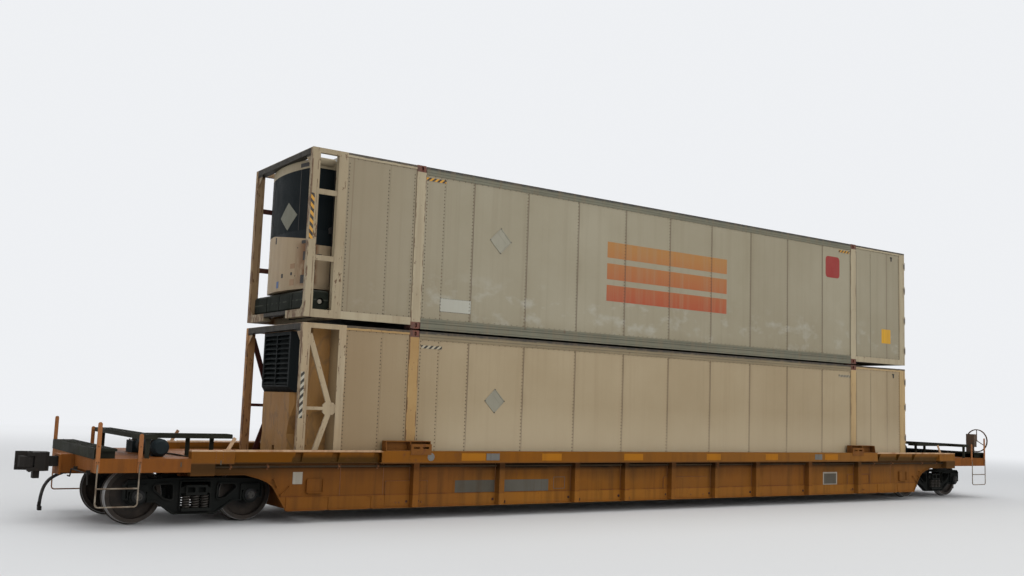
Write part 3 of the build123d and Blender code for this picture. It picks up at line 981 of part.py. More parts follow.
# Lower refrigeration unit: a flat-sided cabinet with a bulged fan case low on its front, and a
# hood of sloping louvres above it between bevelled cheeks.
CABINET_DEPTH = 320.0
CABINET_HALF_W = HALF_W - 335.5
CABINET_Z = (CONT_Z[0] + 300.0, CONT_Z[0] + CONT_H - 56.0)
CASE_OUT = 200.0
CASE_HALF_W = CABINET_HALF_W - 300.0
CHEEK = 70.0
HOOD_OUT = 240.0
HOOD_HALF_W = CABINET_HALF_W - 100.0
HOOD_FLAT = HOOD_HALF_W - 260.0
HOOD_Z = (CONT_Z[0] + CONT_H - 1150.0, CONT_Z[0] + CONT_H - 125.0)
LOUVRES = 10
LOUVRE_T = 9.0
LOUVRE_RUN = 58.0
GRILLE_EDGE = 60.0
MULLION_W = 30.0
cabinet_x = -NOSE_X - CABINET_DEPTH
case_x = cabinet_x - CASE_OUT
lower_unit = block((cabinet_x, -NOSE_X), (-CABINET_HALF_W, CABINET_HALF_W), CABINET_Z)
case_plan = [(cabinet_x, CASE_HALF_W), (case_x + CHEEK, CASE_HALF_W), (case_x, CASE_HALF_W - CHEEK),
             (case_x, -CASE_HALF_W + CHEEK), (case_x + CHEEK, -CASE_HALF_W), (cabinet_x, -CASE_HALF_W)]
lower_unit += along_z(case_plan, (CABINET_Z[0], HOOD_Z[0]))
waist_z = (CABINET_Z[0] + 260.0, HOOD_Z[0] - 200.0)
for side in (1, -1):
    waist = [(side * CASE_HALF_W, waist_z[0]), (side * (CASE_HALF_W - 110.0), sum(waist_z) / 2),
             (side * CASE_HALF_W, waist_z[1])]
    lower_unit -= along_x(waist, (case_x, cabinet_x - CHEEK))
lower_unit -= block((case_x, case_x + 40.0), (-40.0, 60.0), (CABINET_Z[0] + 420.0, CABINET_Z[0] + 540.0))
save("lower_unit_housing", lower_unit)
hood_x = cabinet_x - HOOD_OUT
hood_plan = [(cabinet_x, HOOD_HALF_W), (hood_x, HOOD_FLAT), (hood_x, -HOOD_FLAT), (cabinet_x, -HOOD_HALF_W)]
hood = along_z(hood_plan, HOOD_Z)
grille_y = HOOD_FLAT - GRILLE_EDGE
grille_z = (HOOD_Z[0] + 2 * GRILLE_EDGE, HOOD_Z[1] - GRILLE_EDGE)
hood -= block((hood_x, hood_x + 2 * LOUVRE_RUN), (-grille_y, grille_y), grille_z)
hood -= along_y([(hood_x, HOOD_Z[0]), (hood_x + 90.0, HOOD_Z[0]), (hood_x, HOOD_Z[0] + 90.0)],
                (-HOOD_HALF_W, HOOD_HALF_W))
pitch = (grille_z[1] - grille_z[0]) / LOUVRES
for step in range(LOUVRES):
    foot = grille_z[0] + pitch * step + pitch * 0.2
    hood += along_y([(hood_x + 4.0, foot), (hood_x + LOUVRE_RUN, foot + LOUVRE_RUN * 0.8),
                     (hood_x + LOUVRE_RUN, foot + LOUVRE_RUN * 0.8 + LOUVRE_T),
                     (hood_x + 4.0, foot + LOUVRE_T)],
                    (-grille_y, grille_y))
hood += block((hood_x + 2.0, hood_x + LOUVRE_RUN + 10.0), (-MULLION_W / 2, MULLION_W / 2), grille_z)
save("lower_unit_grille", hood)

# Inter-box connectors between the two containers' corner castings
gap_z = (CONT_Z[0] + CONT_H, CONT_Z[1])
connector = block((SLOT_X - 75.0, SLOT_X + 75.0), (SLOT_Y - 60.0, SLOT_Y + 60.0), gap_z)
save("box_connectors", *four_corners(connector))
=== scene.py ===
import bpy
import bmesh
import math
from mathutils import Matrix, Vector


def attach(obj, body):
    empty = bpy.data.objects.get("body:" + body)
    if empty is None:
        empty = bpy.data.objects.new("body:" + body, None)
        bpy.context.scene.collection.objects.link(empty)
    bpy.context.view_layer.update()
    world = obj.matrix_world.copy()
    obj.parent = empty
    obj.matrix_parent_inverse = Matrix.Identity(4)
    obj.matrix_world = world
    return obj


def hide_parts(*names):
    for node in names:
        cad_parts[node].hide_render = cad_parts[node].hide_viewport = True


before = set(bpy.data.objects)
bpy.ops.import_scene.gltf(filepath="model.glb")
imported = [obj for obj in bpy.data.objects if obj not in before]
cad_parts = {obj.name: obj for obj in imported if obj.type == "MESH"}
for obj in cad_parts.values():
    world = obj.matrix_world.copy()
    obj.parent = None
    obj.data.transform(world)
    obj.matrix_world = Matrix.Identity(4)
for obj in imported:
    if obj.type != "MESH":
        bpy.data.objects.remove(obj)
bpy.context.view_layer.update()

# Camera, floor and light: the view stands at the height of a person's eyes beside the track,
# near the car's nose end, with the floor at the wheel flanges' lowest points.
YAW, PITCH, ROLL = 0.6004, 0.1125, 0.0354
EYE = (-14.715, -16.958, 2.005)
PALE = (0.86, 0.875, 0.9, 1)
FLOOR_HALF, FADE_FROM, FADE_TO = 400, 13.0, 46.0


def placed(name, data):
    thing = bpy.data.objects.new(name, data)
    bpy.context.scene.collection.objects.link(thing)
    return thing


def add_node(tree, kind, values=(), **settings):
    """A shader node with its settings and the constants on its sockets."""
    node = tree.nodes.new("ShaderNode" + kind)
    for name, value in settings.items():
        setattr(node, name, value)
    for name, value in dict(values).items():
        node.inputs[name].default_value = value
    return node


def studio_lamp(name, place, aim, size, watts):
    lamp = bpy.data.lights.new(name, "AREA")
    lamp.shape = "RECTANGLE"
    lamp.size, lamp.size_y = size
    lamp.energy = watts
    hung = placed(name, lamp)
    hung.location = place
    hung.rotation_mode = "QUATERNION"
    hung.rotation_quaternion = (Vector(aim) - Vector(place)).to_track_quat("-Z", "Y")


def background_rays(tree):
    """1 for the rays that show the pale background: those of the camera, of gloss and of glass."""
    rays = add_node(tree, "LightPath")
    shown = rays.outputs["Is Camera Ray"]
    for kind in ("Is Glossy Ray", "Is Transmission Ray"):
        either = add_node(tree, "Math", operation="MAXIMUM")
        tree.links.new(shown, either.inputs[0])
        tree.links.new(rays.outputs[kind], either.inputs[1])
        shown = either.outputs[0]
    return shown


def blended(tree, share, first, second, out):
    """Two shaders blended by a share, on their way to the output."""
    choose = add_node(tree, "MixShader")
    for source, socket in zip((share, first, second), choose.inputs):
        tree.links.new(source, socket)
    tree.links.new(choose.outputs[0], out.inputs[0])


ahead = Vector((math.sin(YAW) * math.cos(PITCH), math.cos(YAW) * math.cos(PITCH), math.sin(PITCH)))
across = ahead.cross(Vector((0, 0, 1))).normalized()
upward = across.cross(ahead)
right = across * math.cos(ROLL) + upward * math.sin(ROLL)
top = upward * math.cos(ROLL) - across * math.sin(ROLL)
lens = bpy.data.cameras.new("trackside_camera")
lens.lens, lens.sensor_width, lens.clip_end = 36.1, 36.0, 500.0
camera = placed("trackside_camera", lens)
camera.matrix_world = Matrix.Translation(EYE) @ Matrix((right, top, -ahead)).transposed().to_4x4()
bpy.context.scene.camera = camera
bpy.context.scene.view_settings.view_transform = "Standard"
for name, place, aim, size, watts in (
        ("sky_panel", (0, -4, 26), (0, 0, 0), (44, 30), 5400),
        ("side_panel", (2, -36, 15), (6, 0, 2), (44, 20), 6000),
        ("end_panel", (-40, 6, 12), (-8, 0, 2), (20, 16), 2100),
        ("back_panel", (4, 38, 13), (0, 0, 2), (40, 18), 3600)):
    studio_lamp(name, place, aim, size, watts)

world = bpy.data.worlds.new("pale_studio")
bpy.context.scene.world = world
world.use_nodes = True
sky = world.node_tree
sky.nodes.clear()
dim = add_node(sky, "Background", {"Color": (0.86, 0.9, 0.96, 1), "Strength": 0.42})
pale = add_node(sky, "Background", {"Color": PALE})
blended(sky, background_rays(sky), dim.outputs[0], pale.outputs[0], add_node(sky, "OutputWorld"))

floor_form = bmesh.new()
bmesh.ops.create_grid(floor_form, x_segments=1, y_segments=1, size=FLOOR_HALF)
floor_mesh = bpy.data.meshes.new("studio_floor")
floor_form.to_mesh(floor_mesh)
floor_form.free()
floor = placed("studio_floor", floor_mesh)
floor_paint = bpy.data.materials.new("pale_floor")
floor_paint.use_nodes = True
tree = floor_paint.node_tree
matt = tree.nodes["Principled BSDF"]
matt.inputs["Base Color"].default_value = (0.66, 0.66, 0.655, 1)
matt.inputs["Roughness"].default_value = 0.9
reach = add_node(tree, "VectorMath", operation="LENGTH")
fade = add_node(tree, "MapRange", {"From Min": FADE_FROM, "From Max": FADE_TO},
    interpolation_type="SMOOTHSTEP")
far = add_node(tree, "Math", operation="MULTIPLY")
glow = add_node(tree, "Emission", {"Color": PALE})
tree.links.new(add_node(tree, "TexCoord").outputs["Object"], reach.inputs[0])
tree.links.new(reach.outputs["Value"], fade.inputs["Value"])
tree.links.new(fade.outputs[0], far.inputs[0])
tree.links.new(background_rays(tree), far.inputs[1])
blended(tree, far.outputs[0], matt.outputs[0], glow.outputs[0], tree.nodes["Material Output"])
floor_mesh.materials.append(floor_paint)

# Air hoses: reinforced rubber hose, clamped on the angle cock under each end sill and hanging
# under its own weight to a cast coupling.
HOSE_POINTS = ((11.265, -0.33, 0.69), (11.38, -0.33, 0.637), (11.468, -0.33, 0.534), (11.514, -0.33, 0.4),
    (11.527, -0.33, 0.26))
HOSE_RADIUS = 0.025


def curve(name, resolution):
    """An empty line that stands for a round bar of its points' radius."""
    line = bpy.data.curves.new(name, "CURVE")
    line.dimensions = "3D"
    line.bevel_depth = 1.0
    line.bevel_resolution = resolution
    line.use_fill_caps = True
    return line


hoses = {}
for end, side in (("b", 1), ("a", -1)):
    line = curve("air_hose_line", 5)
    run = line.splines.new("NURBS")
    run.points.add(len(HOSE_POINTS) - 1)
    for held, point in zip(run.points, HOSE_POINTS):
        held.co = (point[0] * side, point[1] * side, point[2], 1)
        held.radius = HOSE_RADIUS
    run.order_u = 3
    run.use_endpoint_u = True
    run.resolution_u = 12
    hoses[end] = placed("air_hose_rubber_" + end, line)
    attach(hoses[end], "car")
    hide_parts("air_hose_" + end)


class Finish:
    """A material built up from patterns that lie in the object's own space."""

    def __init__(self, name, rough=0.6, metallic=0.0, shine=0.28):
        self.material = bpy.data.materials.new(name)
        self.material.use_nodes = True
        self.tree = self.material.node_tree
        self.shader = self.tree.nodes["Principled BSDF"]
        self.shader.inputs["Roughness"].default_value = rough
        self.shader.inputs["Metallic"].default_value = metallic
        self.shader.inputs["Specular IOR Level"].default_value = shine
        self.where = self.node("TexCoord").outputs["Object"]
        split = self.node("SeparateXYZ")
        self.link(self.where, split.inputs[0])
        self.x, self.y, self.z = split.outputs

    def node(self, kind, values=(), **settings):
        return add_node(self.tree, kind, values, **settings)

    def link(self, source, socket):
        self.tree.links.new(source, socket)

    def put(self, value, socket):
        """A number, a colour or another node's output on a socket."""
        if isinstance(value, (int, float)):
            socket.default_value = value
        elif isinstance(value, tuple):
            socket.default_value = (*value, 1)
        else:
            self.link(value, socket)

    def noise(self, scale, detail=4.0, rough=0.55, stretch=(1, 1, 1), shift=(0, 0, 0)):
        spread = self.node("Mapping", {"Scale": stretch, "Location": shift})
        cloud = self.node("TexNoise", {"Scale": scale, "Detail": detail, "Roughness": rough})
        self.link(self.where, spread.inputs["Vector"])
        self.link(spread.outputs[0], cloud.inputs["Vector"])
        return cloud.outputs["Fac"]

    def ramp(self, source, low, high, to_low=0.0, to_high=1.0):
        span = self.node("MapRange", {"From Min": low, "From Max": high, "To Min": to_low, "To Max": to_high})
        self.link(source, span.inputs["Value"])
        return span.outputs[0]

    def sums(self, kind, a, b=0.0):
        step = self.node("Math", operation=kind)
        self.put(a, step.inputs[0])
        self.put(b, step.inputs[1])
        return step.outputs[0]

    def times(self, a, b):
        return self.sums("MULTIPLY", a, b)

    def plus(self, a, b):
        return self.sums("ADD", a, b)

    def less(self, a, b):
        return self.sums("SUBTRACT", a, b)

    def size(self, a):
        return self.sums("ABSOLUTE", a)

    def between(self, source, low, high, soft):
        """1 inside a span, falling to 0 over a soft edge outside it."""
        return self.times(self.ramp(source, low - soft, low), self.ramp(source, high, high + soft, 1.0, 0.0))

    def near(self, source, place, reach):
        """1 at a place, falling to 0 at a distance from it."""
        return self.ramp(self.size(self.less(source, place)), reach, 0.0)

    def mix(self, mask, a, b):
        blend = self.node("Mix", data_type="RGBA")
        for value, socket in ((mask, 0), (a, 6), (b, 7)):
            self.put(value, blend.inputs[socket])
        return blend.outputs[2]

    def patches(self, low, high, *cloud):
        """Clouds cut off between two levels; what follows the levels is said to the noise."""
        return self.ramp(self.noise(*cloud), low, high)

    def clouded(self, first, second, low, high, *cloud):
        return self.mix(self.patches(low, high, *cloud), first, second)

    def coats(self, tone, *layers):
        """Layers of (mask, colour) or (mask, colour, share) over a tone, one after the other."""
        for mask, colour, *share in layers:
            tone = self.mix(self.times(mask, share[0]) if share else mask, tone, colour)
        return tone

    def colour(self, source):
        self.link(source, self.shader.inputs["Base Color"])

    def roughness(self, source):
        self.link(source, self.shader.inputs["Roughness"])

    def bump(self, source, strength=0.3, height=0.002):
        relief = self.node("Bump", {"Strength": strength, "Distance": height})
        self.link(source, relief.inputs["Height"])
        self.link(relief.outputs[0], self.shader.inputs["Normal"])


def weathered(name, coat, faded, grime, rust=(0.12, 0.045, 0.018), rough=0.6, metallic=0.0, rust_share=0.35,
        streaks=0.5, grain=60.0, extra=None, over=None, shine=0.28):
    """Paint or metal with fading, rain streaks and rust spots, and marks of its own under or over them."""
    skin = Finish(name, rough, metallic, shine)
    tone = skin.clouded(coat, faded, 0.35, 0.68, 0.9, 5.0)
    if extra:
        tone = extra(skin, tone)
    rain = skin.noise(1.0, 6.0, 0.65, (7.0, 7.0, 0.35))
    spots = skin.noise(5.5, 9.0, 0.72, (1, 1, 0.6), (3, 1, 0))
    tone = skin.coats(tone, (skin.ramp(rain, 0.48, 0.78), grime, streaks),
        (skin.ramp(spots, 0.72 - 0.22 * rust_share, 0.8 - 0.16 * rust_share), rust))
    if over:
        tone = over(skin, tone)
    skin.colour(tone)
    fine = skin.noise(grain, 3.0)
    skin.roughness(skin.ramp(skin.plus(fine, spots), 0.6, 1.3, rough - 0.14, min(1.0, rough + 0.22)))
    skin.bump(skin.plus(fine, skin.times(skin.noise(3.0, 5.0), 2.0)), 0.25, 0.0015)
    return skin.material


def dress(finish, *nodes):
    for node in nodes:
        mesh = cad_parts[node].data
        if not mesh.materials:
            mesh.materials.append(finish)
        for place in range(len(mesh.materials)):
            mesh.materials[place] = finish


def finished(name, form, finish, body="car"):
    """A piece from a bmesh: its finish and the body that it rides on."""
    mesh = bpy.data.meshes.new(name)
    form.to_mesh(mesh)
    form.free()
    mesh.materials.append(finish)
    piece = placed(name, mesh)
    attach(piece, body)
    return piece


def slab(form, x, y, z, edge=0.0, turned=None):
    """A plate or bar between (low, high) pairs, with broken edges, turned about its middle."""
    x, y, z = sorted(x), sorted(y), sorted(z)
    middle = Vector((sum(x) / 2, sum(y) / 2, sum(z) / 2))
    size = Matrix.Diagonal((x[1] - x[0], y[1] - y[0], z[1] - z[0], 1))
    place = Matrix.Translation(middle) @ (turned or Matrix()) @ size
    corners = bmesh.ops.create_cube(form, size=1.0, matrix=place)["verts"]
    if edge:
        edges = list({edge_line for corner in corners for edge_line in corner.link_edges})
        bmesh.ops.bevel(form, geom=edges, offset=edge, affect="EDGES", segments=1, profile=0.5, material=-1)
    return corners


def disc(form, place, way, radius, height, sides=24, far_radius=None):
    """A round cap, collar or badge that stands on a face."""
    way = Vector(way)
    aim = way.to_track_quat("Z", "Y").to_matrix().to_4x4()
    bmesh.ops.create_cone(form, cap_ends=True, segments=sides, radius1=radius,
        radius2=radius if far_radius is None else far_radius, depth=height,
        matrix=Matrix.Translation(Vector(place) + way * (height / 2)) @ aim)


def stud(form, place, way, radius, height, sides=6):
    """A rivet, bolt or button head that stands on a face."""
    disc(form, place, way, radius, height, sides, radius * 0.72)


def plates_on(face, out, spans, edge=0.0, form=None, side=-1):
    """Thin plates or painted bands on a face of the car's side, each (low, high, foot, head)."""
    form = bmesh.new() if form is None else form
    for low, high, foot, head in spans:
        slab(form, (low, high), (side * face, side * (face + out)), (foot, head), edge)
    return form


def studs(form, places, way, radius, height, sides=6):
    for place in places:
        stud(form, place, way, radius, height, sides)


def points_in(parts):
    return [part for part in parts if isinstance(part, bmesh.types.BMVert)]


def pipe(name, points, radius, finish, body="car"):
    """A rigid pipe or bent rod through a few points, with eased bends."""
    line = curve(name, 3)
    path = line.splines.new("BEZIER")
    path.bezier_points.add(len(points) - 1)
    for spot, point in zip(path.bezier_points, points):
        spot.co = point
        spot.radius = radius
        spot.handle_left_type = spot.handle_right_type = "AUTO"
    path.resolution_u = 6
    line.materials.append(finish)
    piece = placed(name, line)
    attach(piece, body)
    return piece


rubber = Finish("hose_rubber", 0.72)
rubber.colour(rubber.clouded((0.016, 0.016, 0.017), (0.06, 0.053, 0.046), 0.4, 0.7, 14.0, 5.0))
rubber.bump(rubber.noise(160.0, 2.0), 0.35, 0.001)
for hose in hoses.values():
    hose.data.materials.append(rubber.material)

# Wheelsets: forged steel wheels pressed on turned axles, brown with brake dust, with a bright
# tread where they run on the rail, and an end cap held by three bolts on each bearing.
AXLE_Z = 0.444
TRUCK_X = 9.575
AXLE_DX = 0.8635
CAP_Y = 1.125
TREAD_R = 0.419


def wheel_finish(name, x):
    """Brown rim and plate, a bright tread, and dark oil thrown out from the hub."""
    skin = Finish(name, 0.55, 0.35)
    out_x = skin.less(skin.x, x)
    out_z = skin.less(skin.z, AXLE_Z)
    reach = skin.sums("SQRT", skin.plus(skin.times(out_x, out_x), skin.times(out_z, out_z)))
    dust = skin.clouded((0.022, 0.018, 0.015), (0.052, 0.04, 0.031), 0.35, 0.7, 5.0, 6.0)
    oil = skin.ramp(skin.plus(reach, skin.times(skin.noise(9.0, 4.0), 0.08)), 0.3, 0.2)
    tone = skin.mix(oil, dust, (0.01, 0.01, 0.01))
    bright = skin.between(reach, TREAD_R - 0.004, TREAD_R + 0.006, 0.004)
    rust = skin.patches(0.6, 0.72, 22.0, 8.0, 0.7)
    tone = skin.coats(tone, (bright, (0.3, 0.29, 0.28), 0.8), (rust, (0.075, 0.034, 0.018), 0.6))
    skin.colour(tone)
    skin.roughness(skin.ramp(bright, 0.0, 1.0, 0.62, 0.3))
    skin.bump(skin.plus(skin.noise(70.0, 3.0), skin.times(skin.noise(11.0, 4.0), 1.5)), 0.3, 0.0015)
    return skin.material


cap_bolt = weathered("cap_bolt_steel", (0.03, 0.028, 0.025), (0.058, 0.054, 0.048), (0.014, 0.013, 0.012),
    rough=0.45, metallic=0.2, rust_share=0.5, shine=0.2)
for number, x in (
        ("a1", -TRUCK_X - AXLE_DX), ("a2", -TRUCK_X + AXLE_DX), ("b1", TRUCK_X - AXLE_DX),
        ("b2", TRUCK_X + AXLE_DX)):
    dress(wheel_finish("wheel_steel_" + number, x), "wheelset_" + number)
    caps = bmesh.new()
    for side in (-1, 1):
        disc(caps, (x, side * CAP_Y, AXLE_Z), (0, side, 0), 0.058, 0.004)
        for step in range(3):
            angle = math.radians(90 + 120 * step)
            spot = (x + 0.038 * math.cos(angle), side * (CAP_Y + 0.004), AXLE_Z + 0.038 * math.sin(angle))
            disc(caps, spot, (0, side, 0), 0.021, 0.004, 12)
            stud(caps, (spot[0], side * (CAP_Y + 0.008), spot[2]), (0, side, 0), 0.016, 0.013)
    finished("bearing_cap_bolts_" + number, caps, cap_bolt, "wheelset_" + number + "_body")

# Trucks: cast steel side frames and bolsters, nearly black with oil and road dirt, over nests
# of coil springs wound from round bar.
dress(weathered("truck_iron", (0.0062, 0.0076, 0.007), (0.014, 0.014, 0.0122), (0.005, 0.006, 0.006),
    rust=(0.03, 0.017, 0.01), rough=0.75, rust_share=0.3, streaks=0.4, grain=90.0, shine=0.1),
    "side_frames_a", "side_frames_b", "truck_bolster_a", "truck_bolster_b", "brake_beams_a", "brake_beams_b")
spring_steel = weathered("spring_steel", (0.026, 0.024, 0.021), (0.052, 0.044, 0.036), (0.014, 0.013, 0.012),
    rough=0.5, metallic=0.3, shine=0.3)
COIL_Z = (0.2405, 0.4545)
COIL_R = 0.062
WIRE_R = 0.0125
TURNS = 5
NEST_Y = 1.003
for end, side in (("a", -1), ("b", 1)):
    nest = bmesh.new()
    ring = bmesh.ops.create_circle(nest, cap_ends=False, segments=8, radius=WIRE_R,
        matrix=Matrix.Translation((COIL_R - WIRE_R, 0, COIL_Z[0] + WIRE_R))
        @ Matrix.Rotation(math.radians(90), 4, "X"))["verts"]
    steps = 16 * TURNS
    rise = (COIL_Z[1] - COIL_Z[0] - 2 * WIRE_R) / steps
    bmesh.ops.spin(nest, geom=ring + list({line for corner in ring for line in corner.link_edges}),
        cent=(0, 0, 0), axis=(0, 0, 1), dvec=(0, 0, rise), angle=math.tau * TURNS, steps=steps,
        use_duplicate=False)
    bmesh.ops.holes_fill(nest, edges=[line for line in nest.edges if line.is_boundary], sides=8)
    bmesh.ops.recalc_face_normals(nest, faces=nest.faces)
    one = nest.verts[:] + nest.edges[:] + nest.faces[:]
    spots = [(side * TRUCK_X + dx, y * NEST_Y + dy) for y in (-1, 1) for dx in (-0.14, 0.0, 0.14)
        for dy in (-0.07, 0.07)]
    for spot in spots[1:]:
        made = bmesh.ops.duplicate(nest, geom=one)["geom"]
        bmesh.ops.translate(nest, verts=points_in(made), vec=(*spot, 0))
    bmesh.ops.translate(nest, verts=points_in(one), vec=(*spots[0], 0))
    coils = finished("spring_coils_" + end, nest, spring_steel, "truck_" + end)
    for face in coils.data.polygons:
        face.use_smooth = True
    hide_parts("springs_" + end)

# Side sills: welded plate in orange paint that has faded, with brown dirt washed down from the
# chord, rusty weld lines, a brighter lower chord and small brackets at the posts' feet.
ORANGE = (0.205, 0.076, 0.0095)
ORANGE_FADED = (0.167, 0.069, 0.015)
ORANGE_GRIME = (0.062, 0.03, 0.011)
POST_XS = sorted({way * x for x in (0.0, 1.24, 2.48, 4.2, 5.96) for way in (1, -1)})
SHEET_FACE = 1.362
CHORD_FACE = 1.4995


def sill_marks(skin, tone):
    """Dirt washed down under the chord, a painted shadow band just below it, a brighter lower chord and a
    rusty line where the two meet.
    """
    height, along = skin.z, skin.x
    wash = skin.plus(height, skin.times(skin.noise(1.0, 5.0, 0.6, (5.0, 5.0, 0.4)), 0.35))
    bays = skin.noise(0.45, 2.0, 0.5, (1, 0.1, 0.1))
    line = skin.times(skin.near(height, 0.424, 0.014), skin.patches(0.38, 0.52, 3.0, 5.0))
    corner = skin.times(skin.ramp(skin.size(along), 7.7, 9.1), skin.ramp(height, 0.7, 0.8))
    return skin.coats(tone, (skin.ramp(wash, 0.76, 1.06, 0.0, 0.9), (0.064, 0.029, 0.009)),
        # Painted shadow: the near-black band on the sheet just below the chord stands for the chord's shadow.
        (skin.ramp(height, 0.8, 0.865, 0.0, 0.97), (0.007, 0.0045, 0.002)),
        (skin.between(height, 0.1, 0.4, 0.03), (0.32, 0.132, 0.02), 0.4),
        (skin.ramp(bays, 0.42, 0.62, 0.0, 0.45), (0.19, 0.068, 0.016)), (line, (0.11, 0.035, 0.014), 0.75),
        (skin.ramp(along, -4.0, -7.2, 0.0, 0.5), (0.125, 0.043, 0.009)),
        (corner, (0.036, 0.022, 0.008), 0.65), (skin.ramp(along, 2.0, 8.0, 0.0, 0.3), (0.16, 0.072, 0.02)))


dress(weathered("sill_paint", ORANGE, ORANGE_FADED, ORANGE_GRIME, rough=0.55, rust_share=0.55, streaks=0.65,
    extra=sill_marks, shine=0.05), "side_sills")
weld_rust = weathered("weld_rust", (0.12, 0.045, 0.018), (0.17, 0.07, 0.024), (0.06, 0.028, 0.014),
    rough=0.75, rust_share=0.6)
seams = bmesh.new()
for side in (-1, 1):
    plates_on(SHEET_FACE, 0.004,
        [(x - 0.006, x + 0.006, 0.425, 0.94) for x in (-7.309, -6.521, 6.521, 7.309)], 0.0015, seams, side)
    plates_on(SHEET_FACE, 0.006,
        [(x + edge - 0.007, x + edge + 0.007, 0.43, 0.94) for x in POST_XS for edge in (-0.06, 0.06)], 0.002,
        seams, side)
    studs(seams, [(x, side * 1.38, 0.285) for x in (-6.27, -6.21, -6.08, -5.84, -5.78, -0.105, 0.6, 0.95,
        5.78, 5.84, 6.08, 6.21, 6.27)], (0, side, 0), 0.015, 0.011, 8)
    for low, high in ((-6.482, -5.668), (-0.166, 1.059), (5.668, 6.482)):
        plates_on(SHEET_FACE, 0.013,
            [(x - 0.006, x + 0.006, 0.43, 0.645) for x in (low, high)] + [(low, high, 0.639, 0.651)], 0.002,
            seams, side)
finished("sill_weld_lines_and_studs", seams, weld_rust)
foot_iron = weathered("post_foot_iron", (0.026, 0.012, 0.009), (0.045, 0.016, 0.012), (0.014, 0.009, 0.007),
    rough=0.7, rust_share=0.5)
FOOT_FACE = 1.373
feet = bmesh.new()
for side in (-1, 1):
    for x in POST_XS:
        studs(feet, [(x + out, side * FOOT_FACE, 0.3) for out in (-0.108, 0.118)], (0, side, 0), 0.027, 0.014,
            8)
        if abs(x) < 5.5:
            plates_on(FOOT_FACE, 0.019,
                ((x + 0.053, x + 0.165, 0.226, 0.24), (x + 0.151, x + 0.165, 0.238, 0.276)), 0.002, feet,
                side)
finished("post_foot_bolts_and_hooks", feet, foot_iron)

flat_black = weathered("stencil_black", (0.02, 0.02, 0.021), (0.036, 0.034, 0.032), (0.08, 0.052, 0.03),
    rough=0.6, rust_share=0.0, streaks=0.5)
old_white = weathered("plate_white", (0.29, 0.27, 0.22), (0.24, 0.21, 0.165), (0.16, 0.1, 0.06), rough=0.55,
    rust_share=0.3)
thin_lines = plates_on(SHEET_FACE - 0.0002, 0.0014,
    ((-5.103, -4.262, 0.428, 0.64), (-4.138, -3.06, 0.428, 0.64), (-2.94, -2.93, 0.46, 0.68),
    (-2.68, -2.67, 0.46, 0.68), (-2.94, -2.67, 0.46, 0.469), (-2.94, -2.67, 0.671, 0.68)))
plates_on(1.363, 0.0016, [(4.835, 5.265, 0.44, 0.672)], form=thin_lines)
plates_on(CHORD_FACE + 0.0003, 0.002, ((-9.969, -9.951, 0.905, 0.975), (-9.369, -9.351, 0.93, 1.0)),
    form=thin_lines)
finished("sill_blank_panels", thin_lines,
    weathered("stencil_grey", (0.098, 0.09, 0.072), (0.072, 0.063, 0.048), (0.06, 0.038, 0.02), rough=0.6,
    rust_share=0.4, shine=0.1))
plates = plates_on(SHEET_FACE - 0.0002, 0.0042, [(-8.134, -7.969, 0.617, 0.808)], 0.001)
plates_on(SHEET_FACE - 0.0002, 0.0016, [(4.8, 5.3, 0.405, 0.705)], form=plates)
finished("sill_blank_plates", plates, old_white)

# Top chords: square tube along the middle and a flared plate beside each container end, worn
# bright along its lip, with reflective yellow strips, a round badge and small riveted plates.
def chord_marks(skin, tone):
    height, along = skin.z, skin.size(skin.x)
    lip = skin.times(skin.ramp(height, 1.128, 1.134), skin.ramp(along, 6.6, 6.66))
    # Painted shade: the flared plate faces down and is darkened for the shade that it lies in.
    flared = skin.times(skin.ramp(height, 1.1, 1.03), skin.between(along, 6.66, 9.12, 0.02))
    worn = skin.clouded((0.46, 0.3, 0.18), (0.29, 0.135, 0.06), 0.5, 0.7, 4.0, 5.0, 0.6)
    # Painted shade: the chord's outer face is darkened towards its lower edge.
    under = skin.ramp(height, 0.975, 0.945, 0.0, 0.7)
    return skin.coats(tone, (skin.ramp(skin.x, -3.0, 5.0, 0.0, 0.5), (0.225, 0.1, 0.022)),
        (flared, (0.05, 0.027, 0.005), 0.85), (lip, worn), (under, (0.06, 0.03, 0.014)))


dress(weathered("chord_paint", (0.2, 0.07, 0.005), (0.16, 0.059, 0.008), (0.065, 0.03, 0.01), rough=0.5,
    rust_share=0.5, streaks=0.45, extra=chord_marks, shine=0.08), "top_chords")
dress(weathered("guide_paint", (0.175, 0.066, 0.012), (0.125, 0.047, 0.011), (0.048, 0.023, 0.01), rough=0.6,
    rust_share=0.9, streaks=0.6, shine=0.12), "container_guides")


def strip_painted_shade(skin, tone):
    """The long strip on the flared plate faces down, and beyond x = -8 it is darkened as painted shade."""
    return skin.mix(skin.ramp(skin.x, -8.0, -8.1, 0.0, 0.85), tone, (0.13, 0.044, 0.002))


warm_yellow = weathered("reflective_yellow", (0.345, 0.128, 0.004), (0.295, 0.112, 0.007),
    (0.13, 0.058, 0.01), rough=0.45, rust_share=0.05, streaks=0.35, shine=0.1, extra=strip_painted_shade)
STRIPS = ((-5.07, -4.57), (-3.32, -2.87), (-1.33, -0.84), (0.93, 1.34), (2.72, 3.11), (4.7, 5.16))
strips = plates_on(CHORD_FACE + 0.0003, 0.0017, [(*strip, 0.99, 1.118) for strip in STRIPS])
lean = math.atan2(1.5 - 1.404, 1.136 - 0.945)
slab(strips, (-9.118, -8.192), (-1.4535, -1.45), (0.958, 1.122), 0.0, Matrix.Rotation(lean, 4, "X"))
finished("chord_yellow_strips", strips, warm_yellow)
tags = bmesh.new()
disc(tags, (-5.69, -CHORD_FACE, 1.053), (0, -1, 0), 0.068, 0.004, 28)
disc(tags, (-5.69, -1.503, 1.053), (0, -1, 0), 0.05, 0.003, 28, 0.046)
